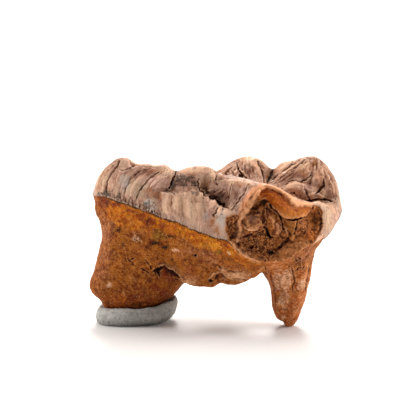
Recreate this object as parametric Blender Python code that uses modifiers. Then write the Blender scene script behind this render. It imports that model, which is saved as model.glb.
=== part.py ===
"""A fossil cave bear molar, standing on one root tip and on a pressed lump of grey putty.

The tooth is one natural piece: a long crown with its cusps, broken open at the near front, a broad
back root, a pointed front root and a ragged web between them. The putty is the second piece.
Lengths are in millimetres until the meshes are made. X runs along the tooth as the viewer sees it,
Y runs away from the viewer and Z is up. Many heights are "seen" heights: what a viewer who looks
down by VIEW_DOWN degrees would measure, in which a point further back stands higher.
"""

import math

import bmesh
import bpy
import numpy as np
from mathutils import Matrix, Vector, noise

MM = 0.001
VIEW_DOWN = math.radians(12.0)
TOOTH_VOXEL = 0.45
SMOOTHING_LOSS = 0.3
PUTTY_VOXEL = 0.5
TOOTH_TRIANGLES = 8400
PUTTY_TRIANGLES = 1300
CONTACT_GAP = 0.5

# Plan of the crown: how far the near and far walls stand from the middle, along the tooth.
NEAR_WALL = ((-22.6, 5.0), (-21.8, 2.2), (-20.0, -0.2), (-17.0, -1.9), (-12.0, -4.2), (-6.0, -6.8),
             (0.0, -9.2), (5.0, -11.2), (9.0, -12.3), (13.0, -12.0), (17.0, -10.0), (20.5, -6.4),
             (22.6, -2.4), (23.4, 1.0))
FAR_WALL = ((-22.6, 5.0), (-21.8, 7.4), (-20.0, 9.2), (-17.0, 10.6), (-10.0, 12.0), (0.0, 12.6),
            (8.0, 12.2), (14.0, 11.0), (18.5, 8.8), (21.5, 5.8), (22.9, 3.0), (23.4, 1.0))

# Seen heights along the crown.
CERVIX = ((-22.6, 23.6), (-17.2, 22.6), (-10.9, 20.8), (-5.2, 18.3), (-1.9, 16.7), (2.7, 15.6),
          (5.0, 13.6), (8.6, 11.9), (12.9, 12.2), (17.2, 14.4), (19.4, 15.7), (22.0, 18.6), (23.4, 21.5))
NEAR_RIM = ((-22.6, 25.9), (-22.0, 27.4), (-20.8, 29.4), (-19.4, 30.6), (-17.3, 31.5), (-16.2, 31.0),
            (-15.4, 30.0), (-12.0, 30.0), (-8.6, 29.9), (-7.2, 28.2), (-5.6, 29.3), (-1.9, 29.7),
            (-0.4, 28.9), (0.6, 27.6), (3.0, 27.2), (6.0, 27.0), (8.0, 26.5), (10.0, 26.3),
            (11.9, 25.3), (13.6, 24.2), (15.2, 23.0), (17.6, 22.6), (19.2, 23.1), (21.0, 22.6),
            (22.5, 22.0), (23.4, 22.0))
FAR_RIM = ((-22.6, 25.0), (-20.0, 27.4), (-16.0, 28.2), (-8.0, 27.6), (-2.0, 27.9), (0.2, 28.4),
           (3.0, 30.4), (5.7, 31.8), (8.4, 30.9), (10.2, 29.4), (11.0, 29.4), (12.6, 30.6),
           (15.4, 30.9), (17.9, 31.7), (19.6, 30.9), (21.0, 29.2), (22.4, 26.8), (23.4, 23.0))
BASIN = ((-22.6, 24.8), (-20.0, 26.2), (-16.0, 26.2), (-8.0, 24.6), (0.0, 24.0), (8.0, 23.8),
         (15.0, 22.6), (19.0, 22.2), (22.0, 22.2), (23.4, 21.8))
FAR_CERVIX = ((-22.6, 23.0), (-15.0, 20.2), (-5.0, 18.2), (5.0, 17.2), (15.0, 16.4), (19.5, 16.6),
              (23.4, 20.5))
UNDERSIDE = ((-22.6, 21.5), (-20.5, 17.0), (-14.0, 12.0), (-8.0, 9.4), (-5.5, 8.6), (0.0, 9.2),
             (5.0, 9.2), (8.8, 10.2), (12.0, 11.0), (16.0, 12.5), (19.0, 14.6), (22.0, 18.2), (23.4, 21.2))
# Relief on the sides that the viewer sees, as places along the tooth and seen heights.
SHELF_EDGE = ((-9.5, 25.4), (-7.1, 24.6), (-5.1, 24.8), (-2.9, 25.0), (-1.8, 23.9), (-0.5, 23.2),
              (0.5, 22.3), (2.4, 21.9), (3.2, 21.4), (4.5, 19.6), (8.0, 18.5))
SHELF_DEPTH = ((-9.5, 0.3), (-5.0, 0.7), (-2.0, 1.3), (1.0, 2.2), (4.0, 2.0), (7.0, 0.8))
WALL_FOLDS = (
    (((-17.9, 30.2), (-18.8, 28.6), (-19.7, 27.0), (-20.1, 25.2)), 0.55, 0.55),
    (((-14.0, 28.8), (-15.5, 27.5), (-16.5, 26.1), (-17.1, 24.2)), 0.6, 0.4),
    (((-8.7, 29.6), (-10.7, 28.4), (-12.5, 27.0), (-13.9, 25.4), (-14.6, 23.8)), 0.6, 0.5),
    (((-7.2, 29.0), (-7.6, 27.2), (-8.6, 25.6)), 0.8, 0.7),
    (((0.3, 28.8), (-0.2, 27.0), (0.4, 25.2), (1.6, 23.4)), 0.9, 0.6),
    (((-3.4, 25.6), (-1.6, 24.4), (-0.2, 23.6), (1.6, 22.8)), 0.9, 0.5),
    (((4.8, 26.0), (4.2, 24.6), (3.6, 23.2)), 0.7, 0.35),
    (((0.4, 22.2), (-0.4, 20.5), (-0.3, 18.6)), 0.5, 0.3),
    (((-5.4, 24.6), (-5.9, 22.0), (-5.8, 19.4)), 0.6, 0.3),
    (((-9.6, 25.2), (-10.0, 23.0), (-9.7, 21.2)), 0.6, 0.3),
)
BITE_FOLDS = (
    (((10.8, 29.8), (10.1, 28.2), (9.5, 26.4)), 0.8, 1.0),
    (((7.9, 30.6), (8.5, 29.3), (9.0, 27.9), (9.3, 26.8)), 0.5, 0.6),
    (((3.7, 30.0), (4.2, 29.0), (5.8, 27.4)), 0.6, 0.6),
    (((16.5, 30.6), (14.3, 28.8), (12.0, 27.5), (9.8, 26.2)), 0.7, -0.7),
    (((14.8, 30.4), (12.8, 28.6), (10.6, 27.2)), 0.5, 0.6),
    (((18.2, 28.2), (17.2, 27.4), (15.05, 26.8), (12.6, 26.0)), 0.55, 0.8),
    (((16.0, 28.8), (16.8, 29.2)), 1.0, -0.5),
    (((13.2, 25.4), (14.6, 25.9), (15.8, 25.6)), 0.8, -0.8),
    (((20.1, 27.6), (19.7, 26.3), (19.0, 25.2), (18.2, 24.6)), 0.5, 1.0),
    (((17.2, 24.2), (19.0, 24.1)), 0.5, -0.5),
    (((14.6, 23.6), (17.1, 23.2), (19.0, 23.4), (21.2, 23.8)), 0.7, 1.4),
    (((16.9, 26.6), (16.8, 25.2), (16.3, 23.8)), 0.45, 0.7),
)
FAR_FOLD_PITCH = 3.1
WRINKLE_SIZE = 2.2
WRINKLE_HEIGHT = 0.7

ENAMEL_STEP = 0.45
ROOT_FURROWS = (
    (((-9.6, 13.6), (-8.2, 11.6), (-7.0, 9.8)), 1.6, 0.9),
    (((-18.0, 16.5), (-17.4, 12.0), (-17.8, 7.0)), 2.0, 0.4),
    (((-12.5, 14.0), (-12.2, 9.0), (-13.0, 5.0)), 1.8, -0.35),
    (((13.3, 12.0), (14.3, 8.5), (14.2, 4.5)), 0.8, 0.45),
    (((9.6, 12.4), (12.2, 9.0)), 1.0, -0.3),
    (((-1.0, 12.0), (-1.6, 9.4)), 1.2, 0.5),
)
BACK_FURROWS = (
    (((-6.5, 17.0), (-8.0, 12.5)), 1.8, 1.2),
    (((7.4, 16.0), (8.6, 12.6)), 1.8, 1.2),
    (((-15.0, 18.0), (-15.6, 9.0)), 1.6, 0.7),
    (((14.2, 13.0), (13.9, 5.0)), 1.0, 0.4),
)
WEB_DROP = 1.1

# The broken corner: its rim, the smooth lip under the rim's top, and the forms inside.
BREAK_OUTLINE = (
    (1.9, 19.9), (3.1, 20.4), (4.3, 20.5), (4.9, 21.6), (5.5, 22.7), (6.3, 24.2), (7.2, 25.0), (8.2, 25.8),
    (9.2, 26.1), (10.5, 25.8), (12.0, 25.2), (13.3, 24.3), (14.1, 23.1), (14.8, 22.5), (16.4, 22.5),
    (17.8, 22.3), (19.1, 22.0), (19.5, 21.1), (19.6, 18.8), (19.1, 17.3), (17.8, 15.5), (16.0, 14.5),
    (14.2, 13.2), (12.3, 12.1), (9.2, 11.8), (7.1, 12.2), (5.0, 13.2), (3.6, 14.5), (2.5, 16.2), (1.9, 17.5),
)
LIP_OUTLINE = (
    (7.6, 23.0), (7.0, 24.8), (8.2, 25.9), (9.2, 26.3), (10.6, 26.1), (12.2, 25.5), (13.5, 24.5),
    (14.3, 23.3), (14.9, 22.8), (17.8, 22.6), (17.4, 21.4), (16.6, 20.6), (15.4, 20.1), (13.7, 20.0),
    (12.4, 20.2), (11.7, 21.1), (10.4, 22.3), (9.8, 23.3), (8.8, 23.6),
)
SLAB_OUTLINE = (
    (13.4, 19.2), (15.6, 19.4), (17.2, 18.0), (17.6, 16.2), (15.8, 15.0), (14.0, 13.7), (12.0, 12.8),
    (10.8, 13.0), (12.4, 14.4), (14.0, 15.9),
)
BREAK_DEPTH = 2.7
LIP_DEPTH = 0.6
SLAB_RISE = 1.5
BREAK_PITS = (((9.2, 23.0), 0.7, 0.6), ((7.0, 22.3), 0.7, 0.6), ((9.6, 17.0), 0.9, 1.1),
              ((18.4, 20.4), 1.0, 0.4), ((12.1, 19.8), 0.6, 0.7))
BREAK_DOMES = (((11.0, 18.5), 1.2, 1.3), ((6.9, 20.4), 1.3, 0.8), ((3.2, 18.4), 1.4, 1.2))
BREAK_RIDGES = (
    (((7.8, 25.2), (6.5, 24.0), (5.6, 22.4), (4.8, 20.6), (4.8, 19.8), (5.5, 18.6), (6.7, 18.0), (8.2, 18.5)),
     0.7, 1.2),
    (((8.6, 13.4), (6.2, 14.2), (4.6, 15.6)), 1.2, 0.6),
)
STATIONS = 62

# Roots: seen height, left and right edge, near and far face.
BACK_ROOT = ((19.5, -20.6, -6.0, -1.5, 9.5), (16.4, -20.6, -5.0, -0.8, 9.6), (13.0, -21.7, -4.6, -0.6, 9.4),
             (10.7, -22.1, -4.6, -0.4, 9.2), (8.9, -22.8, -5.0, 0.0, 9.2), (7.5, -23.3, -6.2, 0.4, 9.1),
             (6.2, -22.5, -7.6, 0.7, 8.9), (5.0, -20.9, -9.4, 1.2, 8.6), (3.6, -20.5, -11.8, 2.4, 8.0))
FRONT_ROOT = ((15.0, 7.5, 18.6, -7.0, 6.5), (12.6, 8.4, 18.1, -6.2, 6.0), (10.1, 8.8, 17.5, -5.0, 5.4),
              (8.4, 10.0, 17.1, -3.9, 4.9), (6.4, 10.4, 16.7, -3.1, 4.4), (4.6, 10.7, 16.3, -2.5, 3.9),
              (2.8, 10.9, 15.6, -1.9, 3.2), (1.4, 11.8, 14.9, -1.2, 2.4), (-0.2, 12.9, 14.1, -0.4, 1.2))
BUCCAL_STUB = ((14.0, -7.0, 7.0, 3.0, 11.4), (12.0, -5.0, 5.5, 4.0, 11.2), (10.6, -3.4, 4.4, 5.0, 10.6),
               (9.8, -2.4, 3.6, 5.8, 10.0))

# The putty: its plan, its top along the tooth, and how far each level draws in and moves along.
PUTTY_OUTLINE = ((-22.2, 4.6), (-21.5, 0.6), (-17.5, -1.1), (-12.0, -0.5), (-8.4, 1.4), (-6.9, 5.0),
                 (-8.0, 8.8), (-12.0, 10.8), (-17.5, 10.8), (-21.2, 9.0))
PUTTY_TOP = ((-22.2, 3.1), (-19.0, 3.3), (-14.0, 3.5), (-11.0, 4.1), (-8.8, 5.3), (-6.9, 5.3))
PUTTY_LEVELS = ((-0.12, 0.76, -1.2), (0.0, 0.82, -0.9), (0.14, 0.91, -0.5), (0.35, 0.98, -0.1), (0.62, 1.0, 0.0),
                (0.84, 0.95, 0.0), (0.96, 0.84, 0.0), (1.0, 0.7, 0.0))


def clear_scene():
    for item in list(bpy.data.objects):
        bpy.data.objects.remove(item)


def along(knots, x):
    """The value of a profile, given as (position, value) knots, at x."""
    positions, values = zip(*knots)
    return np.interp(x, positions, values)


def real_height(seen, y):
    """The height of a point at depth y which the viewer sees at that height."""
    return (seen - y * math.sin(VIEW_DOWN)) / math.cos(VIEW_DOWN)


def closed_curve(points, count):
    """A smooth closed curve through the points, as a Catmull-Rom spline."""
    points = np.array(points, float)
    total = len(points)
    t = np.arange(count) * total / count
    i = t.astype(int)
    f = (t - i)[:, None]
    a, b, c, d = (points[(i + k) % total] for k in (-1, 0, 1, 2))
    return 0.5 * (2 * b + (c - a) * f + (2 * a - 5 * b + 4 * c - d) * f**2
                  + (3 * b - a - 3 * c + d) * f**3)


def crown_ring(x):
    """One cross-section of crown and trunk, from the near cervix over the rims to the underside."""
    near, far = along(NEAR_WALL, x), along(FAR_WALL, x)
    width = far - near
    cervix, near_rim, far_rim = along(CERVIX, x), along(NEAR_RIM, x), along(FAR_RIM, x)
    basin, under = along(BASIN, x), along(UNDERSIDE, x)
    far_cervix = cervix * 0.35 + 13.2
    corners = (
        (near + 0.10 * width, 0.5 * (under + cervix)),
        (near + 0.05 * width, cervix),
        (near, cervix + 0.40 * (near_rim - cervix)),
        (near + 0.05 * width, cervix + 0.78 * (near_rim - cervix)),
        (near + 0.16 * width, near_rim),
        (near + 0.30 * width, 0.45 * near_rim + 0.55 * basin),
        (near + 0.46 * width, basin),
        (near + 0.62 * width, 0.5 * (basin + far_rim)),
        (near + 0.78 * width, far_rim),
        (near + 0.93 * width, 0.7 * far_rim + 0.3 * far_cervix),
        (far, 0.3 * far_rim + 0.7 * far_cervix),
        (far - 0.06 * width, far_cervix - 1.5),
        (far - 0.14 * width, 0.5 * (under + far_cervix)),
        (far - 0.26 * width, under + 1.6),
        (near + 0.45 * width, under + 0.8),
        (near + 0.24 * width, under),
    )
    ring = closed_curve(corners, 48)
    return np.column_stack([np.full(len(ring), x), ring[:, 0], real_height(ring[:, 1], ring[:, 0])])


def root_ring(seen, left, right, near, far):
    """A root's cross-section: a rounded box between its four edges."""
    turn = np.linspace(0, 2 * math.pi, 36, endpoint=False)
    bulge = 0.82
    c = np.sign(np.cos(turn)) * abs(np.cos(turn)) ** bulge
    s = np.sign(np.sin(turn)) * abs(np.sin(turn)) ** bulge
    x = 0.5 * (left + right) + 0.5 * (right - left) * c
    y = 0.5 * (near + far) + 0.5 * (far - near) * s
    z = np.full(len(turn), real_height(seen, 0.5 * (near + far)))
    return np.column_stack([x, y, z])


def loft(name, rings):
    """A closed skin through rings of equal point count, capped at both ends."""
    form = bmesh.new()
    made = [[form.verts.new(Vector(p)) for p in ring] for ring in rings]
    for one, other in zip(made, made[1:]):
        for k in range(len(one)):
            after = (k + 1) % len(one)
            form.faces.new((one[k], one[after], other[after], other[k]))
    form.faces.new(made[0])
    form.faces.new(made[-1])
    bmesh.ops.recalc_face_normals(form, faces=form.faces)
    mesh = bpy.data.meshes.new(name)
    form.to_mesh(mesh)
    form.free()
    return bpy.data.objects.new(name, mesh)


def joined(name, pieces):
    """One mesh object that holds all the pieces' shells."""
    form = bmesh.new()
    for piece in pieces:
        form.from_mesh(piece.data)
        bpy.data.objects.remove(piece)
    mesh = bpy.data.meshes.new(name)
    form.to_mesh(mesh)
    form.free()
    return bpy.data.objects.new(name, mesh)


def applied(item, kind, **settings):
    """The object's mesh as it is after one modifier."""
    collection = bpy.context.scene.collection
    if item.name not in collection.objects:
        collection.objects.link(item)
    modifier = item.modifiers.new(kind.title(), kind)
    for key, value in settings.items():
        setattr(modifier, key, value)
    graph = bpy.context.evaluated_depsgraph_get()
    made = bpy.data.meshes.new_from_object(item.evaluated_get(graph), depsgraph=graph)
    item.modifiers.clear()
    item.data = made
    return item


def fused(item, voxel):
    return applied(item, "REMESH", mode="VOXEL", voxel_size=voxel, adaptivity=0.0)


def smoothed(item, times, factor=0.5):
    return applied(item, "SMOOTH", factor=factor, iterations=times)


def crown_and_trunk():
    first, last = CERVIX[0][0], CERVIX[-1][0]
    return loft("crown", [crown_ring(x) for x in np.linspace(first, last, STATIONS)])


def seen_plane(points):
    """Each point's place as the viewer sees it: along the tooth, and seen height."""
    return np.column_stack([points[:, 0], points[:, 2] * math.cos(VIEW_DOWN) + points[:, 1] * math.sin(VIEW_DOWN)])


def eased(value, low, high):
    """A smooth step from 0 at low to 1 at high."""
    t = np.clip((value - low) / (high - low), 0, 1)
    return t * t * (3 - 2 * t)


def distance_to(path, flat):
    """How far each flat point is from a polyline."""
    path = np.array(path, float)
    nearest = np.full(len(flat), np.inf)
    for a, b in zip(path, path[1:]):
        run = b - a
        t = np.clip((flat - a) @ run / max(run @ run, 1e-12), 0, 1)
        nearest = np.minimum(nearest, np.linalg.norm(flat - a - t[:, None] * run, axis=1))
    return nearest


def depth_inside(outline, flat):
    """How far each flat point lies inside a closed outline, negative outside it."""
    ends = np.array(outline + outline[:1], float)
    within = np.zeros(len(flat), bool)
    for a, b in zip(ends, ends[1:]):
        crosses = (a[1] > flat[:, 1]) != (b[1] > flat[:, 1])
        at = a[0] + (flat[:, 1] - a[1]) * (b[0] - a[0]) / (b[1] - a[1] + 1e-12)
        within ^= crosses & (flat[:, 0] < at)
    return np.where(within, 1, -1) * distance_to(ends, flat)


class Clay:
    """A mesh's points and normals as arrays, in millimetres, to be pushed about by strokes."""

    def __init__(self, item):
        self.item = item
        self.read()

    def read(self):
        mesh = self.item.data
        self.points = np.empty(len(mesh.vertices) * 3)
        self.normals = np.empty(len(mesh.vertices) * 3)
        mesh.vertices.foreach_get("co", self.points)
        mesh.vertices.foreach_get("normal", self.normals)
        self.points = self.points.reshape(-1, 3)
        self.normals = self.normals.reshape(-1, 3)
        self.flat = seen_plane(self.points)

    def write(self):
        self.item.data.vertices.foreach_set("co", self.points.ravel())
        self.item.data.update()
        self.read()

    def facing(self):
        """1 where the surface faces the viewer, 0 where it faces away."""
        toward = np.array([0, -math.cos(VIEW_DOWN), math.sin(VIEW_DOWN)])
        return eased(self.normals @ toward, 0.0, 0.35)

    def across(self):
        """Where each point lies between the near wall, 0, and the far wall, 1."""
        near, far = along(NEAR_WALL, self.points[:, 0]), along(FAR_WALL, self.points[:, 0])
        return (self.points[:, 1] - near) / np.maximum(far - near, 1.0)

    def near_side(self):
        return self.facing() * (1 - eased(self.across(), 0.30, 0.42))

    def biting_side(self):
        return self.facing() * eased(self.across(), 0.20, 0.34)

    def stroke(self, path, width, depth, where):
        """Presses a groove along a path, or with a negative depth raises a ridge."""
        share = np.exp(-((distance_to(path, self.flat) / width) ** 2))
        self.points -= self.normals * (depth * share * where)[:, None]

    def lumps(self, size, height, where=1.0):
        """Soft unevenness of the given size."""
        rise = np.array([noise.noise(Vector(p / size)) for p in self.points])
        self.points += self.normals * (height * rise * where)[:, None]


def shape_near_wall(clay):
    """The low outer shelf with its broad folds, and the groove that parts it from the ridge."""
    x, seen = clay.flat.T
    above = eased(seen - along(SHELF_EDGE, x), -0.3, 0.6) * eased(x, -9.5, -5.0) * (1 - eased(x, 6.5, 9.0))
    near = 1 - eased(clay.across(), 0.30, 0.46)
    clay.points[:, 1] += along(SHELF_DEPTH, x) * above * near
    clay.write()
    for path, width, depth in WALL_FOLDS:
        clay.stroke(path, width, depth, clay.near_side())
    clay.write()


def shape_bite(clay):
    """The folds that run down from the far cusps, and the wrinkled floor of the basin between the rims."""
    for path, width, depth in BITE_FOLDS:
        clay.stroke(path, width, depth, clay.biting_side())
    clay.write()
    across = clay.across()
    floor = eased(across, 0.22, 0.34) * (1 - eased(across, 0.62, 0.78)) * eased(clay.normals[:, 2], 0.3, 0.7)
    clay.lumps(WRINKLE_SIZE, WRINKLE_HEIGHT, floor)
    clay.write()


def shape_far_wall(clay):
    """Broad upright folds on the side that the viewer does not see, and two furrows between the cusps."""
    x, y, z = clay.points.T
    away = eased(clay.normals[:, 1], 0.1, 0.6) * eased(z, 15.0, 18.0)
    ripple = np.cos(x * 2 * math.pi / FAR_FOLD_PITCH + 0.9 * np.sin(x * 0.7))
    furrows = np.exp(-((x - 9.8) / 1.3) ** 2) + 0.7 * np.exp(-((x + 3.0) / 1.5) ** 2)
    clay.points += clay.normals * ((0.22 * ripple - 0.9 * furrows) * away)[:, None]
    clay.write()


def below_cervix(clay):
    """How far each point lies under the enamel's lower edge, which runs all round the tooth."""
    x, y, z = clay.points.T
    share = np.clip(clay.across(), 0, 1)
    near_edge = real_height(along(CERVIX, x), np.minimum(y, along(NEAR_WALL, x) + 4.0))
    return (1 - share) * near_edge + share * along(FAR_CERVIX, x) - z


def shape_roots(clay):
    """Furrows down the roots, and the waist that the enamel stands over."""
    below = below_cervix(clay)
    clay.points -= clay.normals * (ENAMEL_STEP * eased(below, 0.0, 0.8) * (1 - eased(below, 3.0, 7.0)))[:, None]
    clay.write()
    for path, width, depth in ROOT_FURROWS:
        clay.stroke(path, width, depth, clay.facing())
    back = eased(clay.normals[:, 1], 0.1, 0.6)
    for path, width, depth in BACK_FURROWS:
        clay.stroke(path, width, depth, back)
    clay.write()


def break_depth(flat):
    """How deep the broken face lies behind the old wall, over the viewer's plane."""
    edge = depth_inside(BREAK_OUTLINE, flat)
    lip = eased(depth_inside(LIP_OUTLINE, flat), -0.5, 0.3)
    depth = BREAK_DEPTH * eased(edge, -0.2, 1.8)
    depth -= SLAB_RISE * eased(depth_inside(SLAB_OUTLINE, flat), -0.4, 0.6)
    for centre, radius, more in BREAK_PITS:
        depth += more * np.exp(-((distance_to((centre, centre), flat) / radius) ** 2))
    for centre, radius, less in BREAK_DOMES:
        depth -= less * np.exp(-((distance_to((centre, centre), flat) / radius) ** 2))
    for path, width, less in BREAK_RIDGES:
        depth -= less * np.exp(-((distance_to(path, flat) / width) ** 2))
    depth = np.maximum(depth, 0) * eased(edge, -0.2, 0.4)
    return lip * LIP_DEPTH * eased(edge, -0.2, 1.0) + (1 - lip) * depth


def shape_break(clay):
    """Hollows out the broken near front corner."""
    front = clay.facing() * (1 - eased(clay.across(), 0.22, 0.34))
    clay.points[:, 1] += break_depth(clay.flat) * front
    clay.write()


def shape_web(clay):
    """Draws the broken web's lower edge down to a thin ragged lip."""
    x, seen = clay.flat.T
    low = (1 - eased(seen, 8.5, 11.0)) * eased(x, -7.5, -5.0) * (1 - eased(x, 7.0, 9.5))
    ragged = np.array([noise.noise(Vector((p[0] * 0.55, p[1] * 0.25, 3.0))) for p in clay.points])
    clay.points[:, 2] += low * (1.3 * ragged - WEB_DROP * (1 - eased(clay.points[:, 1], -3.5, 0.5)))
    clay.write()


def make_tooth():
    pieces = [crown_and_trunk()]
    for name, rows in (("back_root", BACK_ROOT), ("front_root", FRONT_ROOT), ("stub", BUCCAL_STUB)):
        pieces.append(loft(name, [root_ring(*row) for row in rows]))
    tooth = joined("tooth", pieces)
    fused(tooth, TOOTH_VOXEL)
    smoothed(tooth, 6)
    clay = Clay(tooth)
    clay.points += clay.normals * SMOOTHING_LOSS
    clay.lumps(6.0, 0.45)
    clay.write()
    shape_web(clay)
    shape_far_wall(clay)
    shape_near_wall(clay)
    shape_bite(clay)
    shape_roots(clay)
    shape_break(clay)
    fused(tooth, TOOTH_VOXEL)
    smoothed(tooth, 2)
    clay.read()
    clay.lumps(1.7, 0.1)
    clay.write()
    return tooth


def putty_level(rise, inset, move):
    """One level of the putty: its plan drawn in towards the middle and moved along."""
    plan = closed_curve(PUTTY_OUTLINE, 40)
    middle = plan.mean(axis=0)
    plan = middle + (plan - middle) * inset + (move, 0)
    return np.column_stack([plan, rise * along(PUTTY_TOP, plan[:, 0])])


def make_putty(tooth):
    """A pebble of putty with the bed that the back root has pressed into it."""
    putty = loft("putty", [putty_level(*level) for level in PUTTY_LEVELS])
    fused(putty, PUTTY_VOXEL)
    smoothed(putty, 4)
    clay = Clay(putty)
    clay.lumps(3.2, 0.3)
    clay.write()
    bed = tooth.copy()
    bed.data = tooth.data.copy()
    applied(bed, "DISPLACE", strength=CONTACT_GAP, mid_level=0.0)
    applied(putty, "BOOLEAN", operation="DIFFERENCE", object=bed, solver="EXACT")
    bpy.data.objects.remove(bed)
    return putty


def cut_flat(item):
    """Cuts the mesh off level where it meets the table."""
    form = bmesh.new()
    form.from_mesh(item.data)
    everything = form.verts[:] + form.edges[:] + form.faces[:]
    cut = bmesh.ops.bisect_plane(form, geom=everything, plane_co=(0, 0, 0), plane_no=(0, 0, 1),
                                 clear_inner=True, dist=1e-4)
    rim = [edge for edge in cut["geom_cut"] if isinstance(edge, bmesh.types.BMEdge)]
    bmesh.ops.holes_fill(form, edges=rim)
    bmesh.ops.triangulate(form, faces=form.faces)
    form.to_mesh(item.data)
    form.free()


def thinned(item, triangles):
    """Fewer, larger faces where the form is plain."""
    applied(item, "TRIANGULATE")
    return applied(item, "DECIMATE", ratio=triangles / len(item.data.polygons))


def finish(item, material, collection):
    cut_flat(item)
    item.data.materials.clear()
    item.data.materials.append(material)
    for face in item.data.polygons:
        face.use_smooth = True
    bpy.context.scene.collection.objects.unlink(item)
    collection.objects.link(item)


def plain_material(name, colour, roughness):
    material = bpy.data.materials.new(name)
    material.use_nodes = True
    shader = material.node_tree.nodes["Principled BSDF"]
    shader.inputs["Base Color"].default_value = (*colour, 1.0)
    shader.inputs["Roughness"].default_value = roughness
    shader.inputs["Metallic"].default_value = 0.0
    return material


def place_on_origin(items):
    """Moves the pieces together so that the origin is under the middle of their box, and into metres."""
    corners = np.array([v.co for item in items for v in item.data.vertices])
    low, high = corners.min(axis=0), corners.max(axis=0)
    shift = Vector((-0.5 * (low[0] + high[0]), -0.5 * (low[1] + high[1]), -low[2]))
    for item in items:
        item.data.transform(Matrix.Scale(MM, 4) @ Matrix.Translation(shift))


def main():
    clear_scene()
    tooth = make_tooth()
    putty = make_putty(tooth)
    thinned(tooth, TOOTH_TRIANGLES)
    thinned(putty, PUTTY_TRIANGLES)
    collection = bpy.data.collections.new("cave bear tooth on putty")
    bpy.context.scene.collection.children.link(collection)
    finish(tooth, plain_material("fossil tooth", (0.42, 0.22, 0.12), 0.55), collection)
    finish(putty, plain_material("grey putty", (0.30, 0.31, 0.28), 0.8), collection)
    place_on_origin([tooth, putty])


main()
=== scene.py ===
import math

import bmesh
import bpy
import numpy as np
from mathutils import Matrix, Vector, noise


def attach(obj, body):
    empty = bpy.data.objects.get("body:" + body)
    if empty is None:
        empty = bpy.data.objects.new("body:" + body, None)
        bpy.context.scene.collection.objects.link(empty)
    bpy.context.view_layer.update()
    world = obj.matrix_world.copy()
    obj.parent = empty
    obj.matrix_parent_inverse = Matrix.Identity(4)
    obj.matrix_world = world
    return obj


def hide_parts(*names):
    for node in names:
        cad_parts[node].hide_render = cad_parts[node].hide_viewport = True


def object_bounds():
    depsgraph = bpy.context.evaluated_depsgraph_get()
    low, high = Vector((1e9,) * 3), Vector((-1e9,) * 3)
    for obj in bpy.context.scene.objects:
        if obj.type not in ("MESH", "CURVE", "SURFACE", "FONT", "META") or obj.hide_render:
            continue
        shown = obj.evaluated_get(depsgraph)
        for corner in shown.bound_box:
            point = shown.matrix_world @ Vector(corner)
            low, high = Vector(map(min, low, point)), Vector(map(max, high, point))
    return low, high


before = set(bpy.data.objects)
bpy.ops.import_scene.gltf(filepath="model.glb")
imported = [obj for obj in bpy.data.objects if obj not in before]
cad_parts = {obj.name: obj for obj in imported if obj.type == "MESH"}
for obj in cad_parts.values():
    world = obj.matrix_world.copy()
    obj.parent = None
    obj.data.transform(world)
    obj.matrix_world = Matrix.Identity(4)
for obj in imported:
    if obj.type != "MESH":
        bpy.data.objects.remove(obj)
cad_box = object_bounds()


# The tooth is one natural piece, an upper molar of a cave bear: a crown of dentine capped with
# glossy enamel, a broad back root, a pointed front root and a ragged web between them. It grew as
# one, and its near front corner has broken open, so the brown dentine and a hollow show.

# Its lengths are in millimetres. A place on it is given as the viewer sees it: the place along the
# tooth, and the seen height, which someone sees who looks down by VIEW_DOWN.
MM = 0.001
VIEW_DOWN = math.radians(12.0)
TO_VIEWER = (0.0, -math.cos(VIEW_DOWN), math.sin(VIEW_DOWN))
SEEN_UP = (0.0, math.sin(VIEW_DOWN), math.cos(VIEW_DOWN))
TINY = 1e-12

# The frame's origin, in the coordinates that the profiles are measured in.
PROFILE_ORIGIN = (-0.02, 0.85, 0.0)

# The crown's walls from above, as (along, depth), and the enamel's lower edge on the near wall, as
# (along, seen height), and on the far wall, as (along, height).
NEAR_WALL = (
    (-22.6, 5.0), (-21.8, 2.2), (-20.0, -0.2), (-17.0, -1.9), (-12.0, -4.2), (-6.0, -6.8), (0.0, -9.2),
    (5.0, -11.2), (9.0, -12.3), (13.0, -12.0), (17.0, -10.0), (20.5, -6.4), (22.6, -2.4), (23.4, 1.0),
)
FAR_WALL = (
    (-22.6, 5.0), (-21.8, 7.4), (-20.0, 9.2), (-17.0, 10.6), (-10.0, 12.0), (0.0, 12.6), (8.0, 12.2),
    (14.0, 11.0), (18.5, 8.8), (21.5, 5.8), (22.9, 3.0), (23.4, 1.0),
)
NEAR_CERVIX = (
    (-22.6, 24.2), (-20.3, 24.0), (-18.3, 23.2), (-16.8, 22.7), (-15.0, 22.1), (-13.4, 21.5),
    (-12.1, 21.15), (-10.5, 20.4), (-8.9, 19.9), (-6.8, 19.2), (-4.7, 18.2), (-3.1, 17.55), (-1.9, 17.1),
    (-1.1, 16.9), (-0.4, 16.5), (2.1, 15.95), (4.0, 14.0), (9.0, 12.0), (13.0, 12.2), (16.6, 14.9),
    (17.8, 15.3), (19.1, 16.1), (20.4, 16.7), (21.5, 17.2), (23.4, 18.6),
)
FAR_CERVIX = (
    (-22.6, 23.0), (-15.0, 20.2), (-5.0, 18.2), (5.0, 17.2), (15.0, 16.4), (19.5, 16.0), (23.4, 17.6),
)


def along(knots, x):
    """The value of a profile, given as (position, value) knots, at x."""
    positions, values = zip(*knots)
    return np.interp(x, positions, values)


def eased(value, low, high):
    """A smooth step from 0 at low to 1 at high."""
    share = np.clip((value - low) / (high - low), 0, 1)
    return share * share * (3 - 2 * share)


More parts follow.
